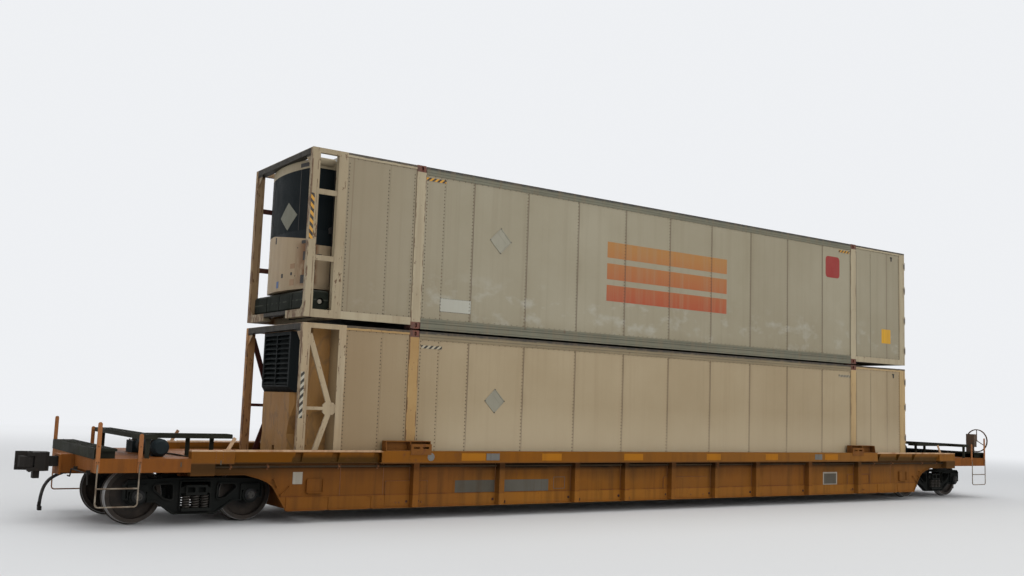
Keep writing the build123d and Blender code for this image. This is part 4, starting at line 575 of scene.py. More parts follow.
for low, high in ((-4.55, -4.27), (4.35, 4.6)):
    plates_on(CHORD_FACE, 0.004, [(low, high, 0.995, 1.115)], 0.001, tags)
    studs(tags, [(x, -CHORD_FACE - 0.004, z) for x in (low + 0.015, (low + high) / 2, high - 0.015)
        for z in (1.007, 1.103)], (0, -1, 0), 0.006, 0.003)
finished("chord_blank_tags", tags,
    weathered("tag_grey", (0.165, 0.16, 0.145), (0.115, 0.108, 0.095), (0.07, 0.045, 0.028), rough=0.5,
    metallic=0.4, rust_share=0.5))
CLAMP_FACE = 1.366
rivets = bmesh.new()
for side in (-1, 1):
    for end in (-1, 1):
        studs(rivets, [(end * x, side * CHORD_FACE, 0.975 + step * 0.036) for x in (9.33, 9.44)
            for step in range(5)], (0, side, 0), 0.009, 0.005)
        for x in (9.165, 8.568, 7.355, 6.643):
            studs(rivets, [(end * x, side * CLAMP_FACE, z) for z in (0.925, 0.865)], (0, side, 0), 0.012,
                0.01)
            plates_on(SHEET_FACE, 0.005, [(end * x - 0.016, end * x + 0.016, 0.85, 0.94)], 0.001, rivets,
                side)
            if side == -1:
                disc(rivets, (end * x - 0.016, -1.392, 0.895), (1, 0, 0), 0.0195, 0.032, 16)
                slab(rivets, (end * x - 0.01, end * x + 0.01), (-CLAMP_FACE - 0.012, -CLAMP_FACE),
                    (0.885, 0.905))
finished("chord_rivets_and_pipe_clamps", rivets, weld_rust)

# Well floor, bulkheads, sills and end decks: welded plate and channels in orange with streaks
# of dirt and spots of rust, the well floor a browner orange than the rest.
dress(weathered("deck_paint", (0.225, 0.073, 0.01), (0.172, 0.058, 0.012), (0.056, 0.027, 0.011), rough=0.62,
    rust_share=0.6, streaks=0.6, shine=0.1), "end_decks", "end_bulkheads", "stub_sills")
dress(weathered("well_paint", (0.135, 0.06, 0.022), (0.1, 0.05, 0.024), (0.05, 0.03, 0.018), rough=0.7,
    rust_share=0.7, streaks=0.4), "well_floor")

# Platforms: pressed galvanised gratings on brackets over the end sills, with serrated bars on
# every tread, and a deep dirty fascia at each end.
grating = weathered("galvanised_grating", (0.0155, 0.016, 0.011), (0.027, 0.027, 0.019), (0.011, 0.01, 0.007),
    rust=(0.05, 0.028, 0.016), rough=0.6, rust_share=0.45, streaks=0.5, shine=0.05)
dress(grating, "end_platforms")
BAR, BAR_PITCH = 0.006, 0.032


def bar_places(span, fine):
    """Where bars start and how high they stand: many at the tread's pitch, or three that tie them."""
    if fine:
        return [(span[0] + step * BAR_PITCH, 0.006) for step in range(int((span[1] - span[0]) / BAR_PITCH))]
    return [(place, 0.008) for place in (span[0], sum(span) / 2, span[1] - BAR)]


bars = bmesh.new()
for end in (-1, 1):
    for x, y, z in (
            ((10.885, 11.178), (-1.45, 1.45), 1.161), ((10.318, 10.552), (-1.41, 1.41), 1.366),
            ((9.015, 10.306), (-0.955, -0.705), 1.366)):
        wide = y[1] - y[0] > x[1] - x[0]
        for low, rise in bar_places(y, wide):
            slab(bars, (end * x[0], end * x[1]), (low, low + BAR), (z, z + rise))
        for low, rise in bar_places(x, not wide):
            slab(bars, (end * low, end * (low + BAR)), y, (z, z + rise))
finished("grating_bars", bars, grating)

# Ladders: flat posts with rounded heads, bolted to the side beams, and thin round stirrups
# rubbed bare by boots.
LADDER_FACE = 1.512


def ladder_marks(skin, tone):
    rods = skin.ramp(skin.size(skin.y), LADDER_FACE + 0.0002, LADDER_FACE + 0.0006)
    bare = skin.clouded((0.12, 0.085, 0.055), (0.24, 0.2, 0.15), 0.4, 0.6, 6.0, 6.0)
    return skin.mix(rods, tone, bare)


dress(weathered("ladder_paint", (0.33, 0.122, 0.03), (0.25, 0.095, 0.03), (0.09, 0.045, 0.02), rough=0.55,
    rust_share=0.6, streaks=0.5, extra=ladder_marks), "ladders")
bolts = bmesh.new()
for end in (-1, 1):
    for side in (-1, 1):
        studs(bolts, [(end * x + shift, side * LADDER_FACE, z) for x in (10.56, 11.145)
            for shift, z in ((-0.016, 0.975), (0.016, 0.975), (0.0, 1.2))], (0, side, 0), 0.011, 0.01)
finished("ladder_bolts", bolts, weld_rust)

# Couplers, cocks and levers: cast steel heads pinned in the draft pockets and forged rod hung
# on the end sills, all brown-black with dirt and grease.
dress(weathered("coupler_iron", (0.013, 0.012, 0.011), (0.028, 0.023, 0.019), (0.009, 0.008, 0.008),
    rust=(0.05, 0.026, 0.015), rough=0.72, metallic=0.1, rust_share=0.5, shine=0.15), "coupler_a",
    "coupler_b", "knuckle_a", "knuckle_b", "uncoupling_levers", "angle_cocks", "glad_hands")

# Brake gear: reservoir, valve and cylinder in dark paint, bound with steel straps and joined by
# pipes along the deck, with the gear housing and wheel of the hand brake at one end.
dress(weathered("brake_black", (0.011, 0.017, 0.019), (0.022, 0.029, 0.031), (0.036, 0.028, 0.021),
    rough=0.55, rust_share=0.4, shine=0.06), "air_brake_gear")
# The pipe's dark brown is partly painted shade, for the chord's shadow over the brake pipe that runs beneath
# it.
pipe_iron = weathered("pipe_iron", (0.034, 0.023, 0.014), (0.056, 0.037, 0.021), (0.02, 0.014, 0.01),
    rough=0.65, rust_share=0.6, shine=0.05)
dress(pipe_iron, "brake_pipe")
dress(weathered("hand_brake_paint", (0.06, 0.04, 0.028), (0.1, 0.062, 0.038), (0.03, 0.024, 0.02), rough=0.55,
    rust_share=0.6), "hand_brake")
straps = bmesh.new()
for y in (-0.9, -0.3):
    disc(straps, (-10.15, y - 0.025, 1.165), (0, 1, 0), 0.134, 0.05, 40)
for x in (9.76, 10.05):
    disc(straps, (x, 0.3, 1.165), (1, 0, 0), 0.124, 0.03, 40)
studs(straps, [(x, y, 1.215) for x in (-10.24, -10.06) for y in (0.1, 0.24, 0.38)], (0, 0, 1), 0.016, 0.018)
round_cover = [math.radians(60 * step) for step in range(6)]
studs(straps, [(-10.15 + 0.062 * math.cos(angle), 0.52, 1.135 + 0.062 * math.sin(angle))
    for angle in round_cover], (0, 1, 0), 0.01, 0.012)
studs(straps, [(11.3, y, z) for y, z in ((-1.17, 1.33), (-1.17, 1.61), (-1.0, 1.33), (-1.0, 1.47),
    (-1.0, 1.61))], (1, 0, 0), 0.012, 0.01)
finished("brake_gear_straps_and_bolts", straps, pipe_iron)
pipe("valve_pipe_to_chord",
    [(-10.05, 0.06, 1.12), (-9.92, -0.1, 1.06), (-9.8, -0.6, 1.04), (-9.7, -1.2, 1.024)], 0.014, pipe_iron)
pipe("cylinder_pipe", [(9.7, 0.3, 1.24), (9.6, 0.3, 1.3), (9.3, 0.2, 1.06), (9.0, 0.1, 1.024)], 0.014,
    pipe_iron)

# Container walls: insulated panels skinned in sheet that has aged from white to cream, lapped
# every four feet along a riveted seam, with brown dust on the seams and paler scuffs low down.
BASES = {"lower": 0.325, "upper": 3.251}
PANEL = 1.2192
RIVET_PITCH = 0.0625
WALL_FACE = 1.2815
FRAME_FACE = 1.2955


def panel_seams(skin):
    """How many panels along the wall a point is, and how far off the nearest seam."""
    steps = skin.sums("DIVIDE", skin.x, PANEL)
    inside = skin.sums("FRACT", skin.plus(steps, 0.5))
    return steps, skin.times(skin.size(skin.less(inside, 0.5)), PANEL)


def panelled(name, base, coat, faded, grime, scuffed, nose_tone, nose_share):
    """Aged sheet: each panel a shade of its own, dust by the seams, scuffs low down, a dark nose end."""
    skin = Finish(name, 0.48, 0.0, 0.35)
    height = skin.less(skin.z, base)
    steps, off_seam = panel_seams(skin)
    drawn = skin.node("TexWhiteNoise", noise_dimensions="1D")
    skin.link(skin.sums("FLOOR", steps), drawn.inputs["W"])
    tone = skin.clouded(coat, faded, 0.36, 0.66, 0.7, 5.0)
    dust = skin.times(skin.ramp(off_seam, 0.13, 0.0), skin.patches(0.38, 0.66, 2.2, 5.0, 0.6, (2, 2, 0.7)))
    rain = skin.patches(0.5, 0.78, 1.0, 6.0, 0.62, (9.0, 9.0, 0.22))
    clouds = skin.patches(0.54, 0.7, 2.6, 5.0, 0.6, (1, 1, 1.5), (2, 0, 1))
    scuffs = skin.times(clouds, skin.between(height, 0.25, 0.75, 0.35))
    foot = skin.ramp(skin.plus(height, skin.times(skin.noise(1.6, 4.0), 0.35)), 0.55, 0.28, 0.0, 0.35)
    tone = skin.coats(tone, (drawn.outputs["Value"], grime, 0.22), (dust, grime, 0.42),
        (skin.ramp(off_seam, 0.015, 0.007), (0.095, 0.058, 0.034), 0.62), (rain, grime, 0.3),
        (scuffs, (0.42, 0.42, 0.37), scuffed), (foot, grime))
    if base < 1.0:
        # Painted light: low down on the lower walls, away from the nose end, the sheet is lightened to lift
        # the shade there.
        low_painted_light = skin.times(skin.ramp(height, 1.7, 0.9), skin.ramp(skin.x, -6.2, -5.0))
        tone = skin.mix(skin.times(low_painted_light, 0.55), tone, (0.43, 0.352, 0.232))
    specks = skin.noise(19.0, 8.0, 0.7)
    tone = skin.coats(tone, (skin.ramp(skin.x, -5.2, -7.0, 0.0, nose_share), nose_tone),
        (skin.ramp(specks, 0.68, 0.74), (0.12, 0.07, 0.04), 0.55))
    skin.colour(tone)
    skin.roughness(skin.ramp(skin.noise(40.0, 3.0), 0.3, 0.7, 0.42, 0.62))
    waves = skin.plus(skin.noise(1.1, 2.0, 0.4, (1.4, 1.0, 0.8)), skin.times(skin.noise(55.0, 2.0), 0.06))
    skin.bump(waves, 0.35, 0.012)
    return skin.material


walls = {"upper": ((0.256, 0.222, 0.147), (0.288, 0.254, 0.176), (0.18, 0.145, 0.086), 0.34,
    (0.205, 0.155, 0.088), 0.6),
    "lower": ((0.308, 0.236, 0.136), (0.34, 0.266, 0.16), (0.215, 0.15, 0.076), 0.18, (0.205, 0.132, 0.06),
    0.7)}
# The rivet heads' dark browns are partly dirt and partly painted shade, for the small shadow round each head.
rivet_coats = {"upper": ((0.055, 0.038, 0.022), (0.085, 0.062, 0.038), (0.035, 0.022, 0.014)),
    "lower": ((0.06, 0.037, 0.018), (0.09, 0.06, 0.032), (0.038, 0.022, 0.012))}
seam_lines = [PANEL * step for step in range(-4, 5)] + [-5.4864, -6.614, 6.69]
for level, base in BASES.items():
    dress(panelled(level + "_cream", base, *walls[level]), level + "_side_walls", level + "_front_wall")
    heads = bmesh.new()
    columns = [x - 0.024 for x in seam_lines]
    columns += [-5.872, 5.872, -6.132, 6.132, -7.395 if level == "upper" else -7.275, 7.792]
    for side in (-1, 1):
        before = set(heads.verts)
        studs(heads, [(0, side * WALL_FACE, base + 0.21 + RIVET_PITCH * step) for step in range(41)],
            (0, side, 0), 0.0125, 0.005, 5)
        corners = [corner for corner in heads.verts if corner not in before]
        column = corners + list({line for corner in corners for line in corner.link_edges})
        column += list({face for corner in corners for face in corner.link_faces})
        for x in columns[1:]:
            made = bmesh.ops.duplicate(heads, geom=column)["geom"]
            bmesh.ops.translate(heads, verts=points_in(made), vec=(x, 0, 0))
        bmesh.ops.translate(heads, verts=corners, vec=(columns[0], 0, 0))
        for low, high, foot, head in (
                (-5.84, 5.84, 0.205, 2.735), (6.16, 7.78, 0.205, 2.805), (-7.24, -6.16, 0.205, 2.805)):
            places = [low + 2 * RIVET_PITCH * step for step in range(int((high - low) / (2 * RIVET_PITCH))
                + 1)]
            studs(heads, [(x, side * WALL_FACE, base + z) for x in places for z in (foot, head)],
                (0, side, 0), 0.0085, 0.004, 5)
    rivet_coat = weathered(level + "_rivet_coat", *rivet_coats[level], rough=0.5, rust_share=0.8, streaks=0.6,
        grain=200.0)
    finished(level + "_wall_rivets", heads, rivet_coat)

# Marks on the near walls: painted strips and plain coloured bands, a metal holder for a
# warning card, riveted label plates and small lashing hooks, all of them blank.
def striped(name, first, second, pitch, run_x, run_z, worn=0.35):
    """Slanted stripes of two colours, chipped and dusty."""
    skin = Finish(name, 0.5)
    drift = skin.plus(skin.times(skin.x, run_x), skin.times(skin.z, run_z))
    band = skin.sums("GREATER_THAN", skin.sums("FRACT", skin.sums("DIVIDE", drift, pitch)), 0.5)
    tone = skin.mix(band, first, second)
    chips = skin.times(skin.patches(0.56, 0.62, 38.0, 6.0, 0.7), worn)
    tone = skin.mix(chips, tone, (0.25, 0.2, 0.13))
    skin.colour(skin.mix(skin.times(skin.noise(6.0, 5.0), 0.25), tone, (0.12, 0.09, 0.055)))
    skin.bump(skin.noise(120.0, 3.0), 0.2, 0.001)
    return skin.material


black_tape, amber_tape, chalk_tape = (0.014, 0.013, 0.012), (0.56, 0.27, 0.02), (0.42, 0.39, 0.31)
for level, tape, foot, head, spans in (
        ("upper", striped("amber_black_tape", black_tape, amber_tape, 0.105, 1.0, -1.1), 5.898, 5.955,
        ((-5.905, -5.49), (5.47, 5.86))),
        ("lower", striped("chalk_black_wall_tape", black_tape, (0.4, 0.35, 0.25), 0.105, 1.0, -1.1), 2.917,
        2.972, ((-5.86, -5.44), (5.47, 5.895)))):
    form = plates_on(WALL_FACE, 0.0045, [(*span, foot, head) for span in spans])
    finished(level + "_wall_tape", form, tape)
for level, tape, foot, head in (
        ("upper", striped("amber_black_nose_tape", black_tape, amber_tape, 0.13, 1.0, 1.0, 0.7), 4.59, 5.36),
        ("lower", striped("chalk_black_nose_tape", chalk_tape, black_tape, 0.12, -1.0, 1.0, 0.7), 1.66,
        2.41)):
    form = plates_on(FRAME_FACE, 0.0025, [(-8.068, -8.006, foot, head)])
    finished(level + "_nose_tape", form, tape)


def faded_bands(name):
    """Level bands of old paint that go from orange at the top to red at the foot."""
    skin = Finish(name, 0.5)
    fall = skin.ramp(skin.plus(skin.z, skin.times(skin.noise(0.8, 3.0), 0.25)), 5.35, 4.2)
    tone = skin.mix(fall, (0.33, 0.15, 0.04), (0.31, 0.058, 0.022))
    worn = skin.ramp(skin.noise(1.0, 6.0, 0.62, (9.0, 9.0, 0.3)), 0.46, 0.76, 0.0, 0.45)
    tone = skin.mix(worn, tone, (0.25, 0.19, 0.11))
    skin.colour(skin.coats(tone, (skin.ramp(panel_seams(skin)[1], 0.015, 0.007), (0.07, 0.036, 0.022), 0.7)))
    skin.bump(skin.noise(1.1, 2.0, 0.4, (1.4, 1.0, 0.8)), 0.3, 0.012)
    return skin.material


bands = plates_on(WALL_FACE, 0.0012, [(-1.7, 1.68, foot, foot + 0.32) for foot in (4.98, 4.545, 4.11)])
finished("upper_wall_colour_bands", bands, faded_bands("faded_orange_bands"))
spot = bmesh.new()
slab(spot, (-0.255, 0.255), (0, 0.0012), (-0.255, 0.255))
upright_edges = [line for line in spot.edges if abs(line.verts[0].co.y - line.verts[1].co.y) > 0.001]
bmesh.ops.bevel(spot, geom=upright_edges, offset=0.09, affect="EDGES", segments=5, profile=0.5, material=-1)
bmesh.ops.translate(spot, verts=spot.verts, vec=(5.243, -WALL_FACE - 0.0012, 5.51))
finished("upper_wall_red_patch", spot,
    weathered("faded_red", (0.23, 0.022, 0.018), (0.25, 0.034, 0.026), (0.15, 0.06, 0.04), rough=0.5,
    rust_share=0.0, streaks=0.3))
label = plates_on(WALL_FACE, 0.002, [(7.11, 7.467, 3.816, 4.164)], 0.0008)
finished("upper_wall_yellow_label", label,
    weathered("label_yellow", (0.56, 0.3, 0.02), (0.5, 0.27, 0.03), (0.24, 0.13, 0.04), rust_share=0.1))
sheet = plates_on(WALL_FACE, 0.0025, [(-5.52, -4.87, 3.59, 3.83)], 0.001)
finished("upper_wall_blank_sheet", sheet,
    weathered("pale_sheet", (0.33, 0.315, 0.255), (0.36, 0.35, 0.29), (0.23, 0.2, 0.14), rough=0.45,
    rust_share=0.05, streaks=0.2))
level_dashes = [(-5.515 + step * 0.05, z) for step in range(13) for z in (3.592, 3.826)]
upright_dashes = [(x, 3.597 + step * 0.048) for step in range(5) for x in (-5.52, -4.874)]
dashes = plates_on(WALL_FACE + 0.002, 0.002,
    [(x, x + 0.03, z - 0.003, z + 0.003) for x, z in level_dashes]
    + [(x, x + 0.006, z, z + 0.03) for x, z in upright_dashes])
for x, z in ((7.5, 5.965), (7.56, 3.05)):
    plates_on(WALL_FACE, 0.012, [(x - 0.035, x + 0.035, z, z + 0.03)], 0.003, dashes)
    plates_on(WALL_FACE, 0.013, [(x - 0.01, x + 0.022, z - 0.075, z)], 0.003, dashes)
finished("near_wall_dashes_and_hooks", dashes, flat_black)
card_grey = weathered("card_holder_grey", (0.215, 0.2, 0.15), (0.26, 0.245, 0.19), (0.11, 0.09, 0.058),
    rough=0.42, metallic=0.35, rust_share=0.25, streaks=0.3)
for level, x, z, half in (("upper", -4.27, 5.0, 0.17), ("lower", -4.28, 2.05, 0.156)):
    hung = Matrix.Translation((x, -WALL_FACE, z)) @ Matrix.Rotation(math.radians(45), 4, "Y")
    holder = bmesh.new()
    slab(holder, (-half, half), (-0.004, 0), (-half, half), 0.001)
    for side in (-1, 1):
        slab(holder, (side * half, side * (half - 0.016)), (-0.009, -0.004), (-half, half), 0.001)
        slab(holder, (-half + 0.016, half - 0.016), (-0.009, -0.004), (side * half, side * (half - 0.016)),
            0.001)
    slab(holder, (-half + 0.03, half - 0.03), (-0.0065, -0.004), (half * 0.3, half * 0.3 + 0.012), 0.001)
    bmesh.ops.transform(holder, matrix=hung, verts=holder.verts)
    finished(level + "_card_holder", holder, card_grey)
    clips = bmesh.new()
    for x_way, z_way in ((1, 1), (1, -1), (-1, 1), (-1, -1)):
        disc(clips, (x_way * (half - 0.008), -0.009, z_way * (half - 0.008)), (0, -1, 0), 0.01, 0.004, 10)
    bmesh.ops.transform(clips, matrix=hung, verts=clips.verts)
    finished(level + "_card_holder_clips", clips, flat_black)

# Container frames: rolled steel rails and square posts in cream paint that flakes to rust at
# the edges, with cast corner fittings worn red-brown, and duller rails between the posts.
def flaked_edges(skin, edges, flakes):
    """Flakes of rust, kept to the edges that the masks show."""
    worn = edges[0]
    for edge in edges[1:]:
        worn = skin.plus(worn, edge)
    return skin.times(skin.sums("MINIMUM", worn, 1.0), flakes)


def frame_finish(name, coat, faded, rail, base):
    """Cream posts with brown castings, and rails between the posts that are duller and lined."""
    chips_rust = (0.105, 0.05, 0.026)

    def marks(skin, tone):
        along, height = skin.size(skin.x), skin.less(skin.z, base)
        if base < 1.0:
            tone = skin.mix(skin.ramp(skin.x, -3.0, 5.0, 0.0, 0.8), tone, (0.415, 0.292, 0.142))
        middle = skin.ramp(along, 5.91, 5.904)
        dull = skin.clouded(rail, tuple(1.22 * value for value in rail), 0.35, 0.65, 2.0, 5.0, 0.6,
            (0.5, 1, 4))
        lines = [(skin.near(height, line, 0.011), (0.05, 0.046, 0.034), skin.times(middle, 0.7))
            for line in (0.03, 0.106, 0.15, 2.795, 2.842)]
        laps = skin.sums("FRACT", skin.sums("DIVIDE", skin.plus(skin.x, skin.times(height, 2.4)), 0.61))
        lap = skin.times(skin.ramp(laps, 0.035, 0.0), skin.ramp(height, 2.74, 2.75))
        rough_edge = skin.plus(height, skin.times(skin.noise(4.0, 6.0, 0.7, (1, 0.2, 0.2)), 0.05))
        castings = skin.sums("MAXIMUM", skin.ramp(height, 0.1185, 0.1175), skin.ramp(height, 2.7775, 2.7785))
        castings = skin.times(castings,
            skin.times(skin.ramp(along, 5.9, 5.905), skin.ramp(along, 6.105, 6.1)))
        cast = skin.clouded((0.135, 0.044, 0.027), (0.075, 0.036, 0.025), 0.4, 0.62, 12.0, 6.0)
        edges = [skin.near(along, place, reach) for place, reach in ((5.912, 0.016), (6.09, 0.016),
            (7.973, 0.01), (8.072, 0.016))]
        flakes = skin.patches(0.5, 0.56, 11.0, 7.0, 0.72, (1, 1, 0.28))
        gouges = skin.patches(0.615, 0.635, 9.0, 8.0, 0.75, (1.2, 1.2, 0.4), (5, 2, 0))
        return skin.coats(tone, (middle, dull), *lines, (lap, (0.08, 0.07, 0.05), skin.times(middle, 0.45)),
            (skin.ramp(rough_edge, 2.872, 2.878, 0.0, 0.9), (0.024, 0.022, 0.02)), (castings, cast),
            (flaked_edges(skin, edges, flakes), chips_rust), (gouges, chips_rust, 0.85))

    return weathered(name, coat, faded, (0.19, 0.125, 0.068), rust=chips_rust, rough=0.52, rust_share=0.3,
        streaks=0.55, extra=marks)


for level, coat, faded, rail in (
        ("upper", (0.328, 0.27, 0.174), (0.366, 0.31, 0.206), (0.12, 0.116, 0.08)),
        ("lower", (0.32, 0.19, 0.068), (0.375, 0.245, 0.1), (0.18, 0.142, 0.082))):
    dress(frame_finish(level + "_frame_paint", coat, faded, rail, BASES[level]), level + "_rails",
        level + "_posts", level + "_door_frame")


def nose_finish(name, coat, faded, far_coat, beam, shelf=None):
    """Cream on the near posts and braces, browner on the far ones, with dark red rungs there."""
    rust = (0.095, 0.045, 0.024)

    def marks(skin, tone):
        # The far posts' browner coat is partly their paint and partly painted light, lightened to make up for
        # the shade that they stand in.
        far_side = skin.ramp(skin.y, 1.1, 1.16)
        bars = skin.times(skin.ramp(skin.x, -7.972, -7.968), skin.ramp(skin.y, 1.235, 1.245))
        edges = (skin.near(skin.x, -7.974, 0.01), skin.near(skin.x, -8.073, 0.02))
        flakes = skin.patches(0.48, 0.54, 11.0, 7.0, 0.72, (1, 1, 0.28))
        gouges = skin.patches(0.6, 0.625, 8.0, 8.0, 0.75, (1.2, 1.2, 0.5), (5, 2, 0))
        return skin.coats(tone, (far_side, far_coat),
            (skin.times(bars, skin.ramp(skin.x, -7.6, -7.61)), (0.075, 0.022, 0.02)),
            (flaked_edges(skin, edges, flakes), rust), (gouges, rust, 0.9))

    def shade(skin, tone):
        across_car = skin.size(skin.y)
        dark = skin.times(skin.between(skin.z, beam[0], beam[1], 0.006), skin.ramp(across_car, 1.205, 1.195))
        if shelf:
            low = skin.times(skin.between(skin.z, shelf[0], shelf[1], 0.002),
                skin.ramp(across_car, 0.505, 0.495))
            dark = skin.sums("MAXIMUM", dark, low)
        return skin.mix(skin.times(dark, 0.94), tone, (0.014, 0.014, 0.012))

    return weathered(name, coat, faded, (0.15, 0.1, 0.06), rust=rust, rough=0.55, rust_share=0.35,
        streaks=0.6, extra=marks, over=shade, shine=0.12)


dress(nose_finish("upper_nose_paint", (0.3, 0.238, 0.15), (0.335, 0.275, 0.18), (0.27, 0.18, 0.098),
    (6.0, 6.13), (3.36, 3.45)), "upper_nose_frame")
dress(nose_finish("lower_nose_paint", (0.375, 0.3, 0.195), (0.33, 0.24, 0.14), (0.36, 0.19, 0.08),
    (3.08, 3.204)), "lower_nose_frame")
dress(weathered("underside_grey", (0.045, 0.042, 0.036), (0.07, 0.062, 0.05), (0.03, 0.026, 0.022), rough=0.7,
    rust_share=0.5), "lower_floor", "upper_floor")
dress(weathered("roof_sheet", (0.27, 0.262, 0.24), (0.34, 0.33, 0.3), (0.15, 0.128, 0.098), rough=0.45,
    metallic=0.35, rust_share=0.15, streaks=0.3), "upper_roof", "lower_roof")
dress(weathered("connector_steel", (0.12, 0.045, 0.026), (0.09, 0.04, 0.026), (0.045, 0.028, 0.02),
    rough=0.75), "box_connectors")

# Doors: insulated leaves on forged hinge straps, held by round lock rods in cams and brackets,
# with a black rubber seal round each leaf.
DOOR_FACE = 7.99
LEAF_Y = (0.004, 1.189)
SEAL_Z = (0.2, 2.742)
SEAL = 0.014


def door_finish(name, coat, faded, base):
    """Cream leaves with a dirty foot, and zinc on all that stands out from their face."""
    def marks(skin, tone):
        rods = skin.ramp(skin.x, DOOR_FACE + 0.005, DOOR_FACE + 0.008)
        zinc = skin.clouded((0.2, 0.19, 0.165), (0.115, 0.078, 0.05), 0.4, 0.66, 18.0, 6.0)
        foot = skin.ramp(skin.z, base + 0.75, base + 0.2, 0.0, 0.4)
        return skin.coats(tone, (rods, zinc), (foot, (0.15, 0.11, 0.07)))

    return weathered(name, coat, faded, (0.16, 0.12, 0.078), rough=0.5, rust_share=0.15, streaks=0.45,
        extra=marks)


dress(door_finish("upper_door_coat", (0.3, 0.27, 0.195), (0.335, 0.305, 0.228), BASES["upper"]),
    "upper_door_left", "upper_door_right")
dress(door_finish("lower_door_coat", (0.31, 0.25, 0.158), (0.345, 0.282, 0.185), BASES["lower"]),
    "lower_doors")
seal_rubber = weathered("door_seal_rubber", (0.016, 0.016, 0.016), (0.035, 0.034, 0.032),
    (0.05, 0.042, 0.034), rough=0.8, rust_share=0.0)
hinge_zinc = weathered("hinge_zinc", (0.18, 0.168, 0.14), (0.23, 0.218, 0.19), (0.09, 0.066, 0.044),
    rough=0.45, metallic=0.5, rust_share=0.5)
for level, bodies in (("upper", ("left_door", "right_door")), ("lower", ("car", "car"))):
    base = BASES[level]
    for side, body in zip((1, -1), bodies):
        edging = bmesh.new()
        stands = (DOOR_FACE - 0.001, DOOR_FACE + 0.004)
        for z in (SEAL_Z[0], SEAL_Z[1] - SEAL):
            slab(edging, stands, (side * LEAF_Y[0], side * LEAF_Y[1]), (base + z, base + z + SEAL))
        for y in (LEAF_Y[0], LEAF_Y[1] - SEAL):
            slab(edging, stands, (side * y, side * (y + SEAL)), (base + SEAL_Z[0], base + SEAL_Z[1]))
        hand = "left" if side == 1 else "right"
        finished(level + "_door_seal_" + hand, edging, seal_rubber, body)
        iron = bmesh.new()
        for share in (0.09, 0.387, 0.684, 0.926):
            z = base + 0.19 + share * 2.56
            studs(iron, [(DOOR_FACE + 0.014, side * y, z + rise) for y in (1.085, 1.125, 1.165)
                for rise in (-0.032, 0.032)], (1, 0, 0), 0.009, 0.006)
        brackets = [(y, base + z) for y in (0.193, 0.86) for z in (0.31, 1.09, 1.85, 2.63)]
        studs(iron, [(DOOR_FACE + 0.022, side * (y + shift), z + rise) for y, z in brackets
            for shift in (-0.021, 0.021) for rise in (-0.016, 0.016)], (1, 0, 0), 0.006, 0.005)
        finished(level + "_door_bolts_" + hand, iron, hinge_zinc, body)

# Upper refrigeration unit: a moulded housing with a bowed front, white below a dark wrapped
# cover and a cream crown, with vents and label plates, and rust run down beside its hatch.
BOW_R = 3.159
UNIT_FRONT = -8.02
COVER_DARK = (0.0062, 0.0092, 0.0104), (0.0088, 0.0118, 0.0128)


def housing_marks(skin, tone):
    height, across_car = skin.z, skin.y
    below = skin.times(skin.ramp(across_car, -0.5, -0.84), skin.between(height, 3.92, 4.58, 0.08))
    rust = skin.times(skin.patches(0.3, 0.5, 5.0, 7.0, 0.7, (1, 1, 0.45)), below)
    grey = skin.times(skin.ramp(height, 4.1, 3.84, 0.0, 0.35), skin.noise(4.0, 5.0))
    return skin.coats(tone, (skin.ramp(height, 5.875, 5.885), (0.33, 0.275, 0.185)),
        (skin.times(rust, skin.ramp(skin.x, -7.7, -7.78)), (0.135, 0.052, 0.02)), (grey, (0.15, 0.125, 0.09)))


def cover_edge(skin, tone):
    """The dark cover goes down to a sloping edge on the white housing."""
    height, across_car = skin.z, skin.y
    fall = skin.ramp(across_car, 0.62, -0.85, 4.845, 4.655)
    fall = skin.plus(fall, skin.ramp(across_car, -0.85, -0.93, 0.0, -0.098))
    covered = skin.times(skin.ramp(skin.less(height, fall), 0.0, 0.004), skin.ramp(height, 5.885, 5.875))
    dark = skin.clouded(*COVER_DARK, 0.35, 0.65, 1.3, 4.0)
    return skin.mix(covered, tone, dark)


dress(weathered("unit_white", (0.37, 0.282, 0.18), (0.335, 0.252, 0.158), (0.17, 0.115, 0.07), rough=0.45,
    rust_share=0.15, streaks=0.4, extra=housing_marks, over=cover_edge, shine=0.06), "upper_unit_housing")
dress(weathered("unit_dark_cover", *COVER_DARK, (0.018, 0.018, 0.016), rough=0.5, rust_share=0.0,
    streaks=0.35, shine=0.03), "upper_unit_grille")


def flat_fittings(form, out, inset, places):
    """Flat fittings at x = 0, each (y, z, width, height)."""
    for y, z, wide, tall in places:
        slab(form, (-out, inset), (y - wide / 2, y + wide / 2), (z - tall / 2, z + tall / 2))


def bowed(form, cuts):
    """Bends flat fittings that stand at x = 0 round the front of the housing."""
    for y in cuts:
        bmesh.ops.bisect_plane(form, geom=form.verts[:] + form.edges[:] + form.faces[:], plane_co=(0, y, 0),
            plane_no=(0, 1, 0))
    for corner in form.verts:
        corner.co.x += UNIT_FRONT + BOW_R - math.sqrt(BOW_R ** 2 - corner.co.y ** 2)


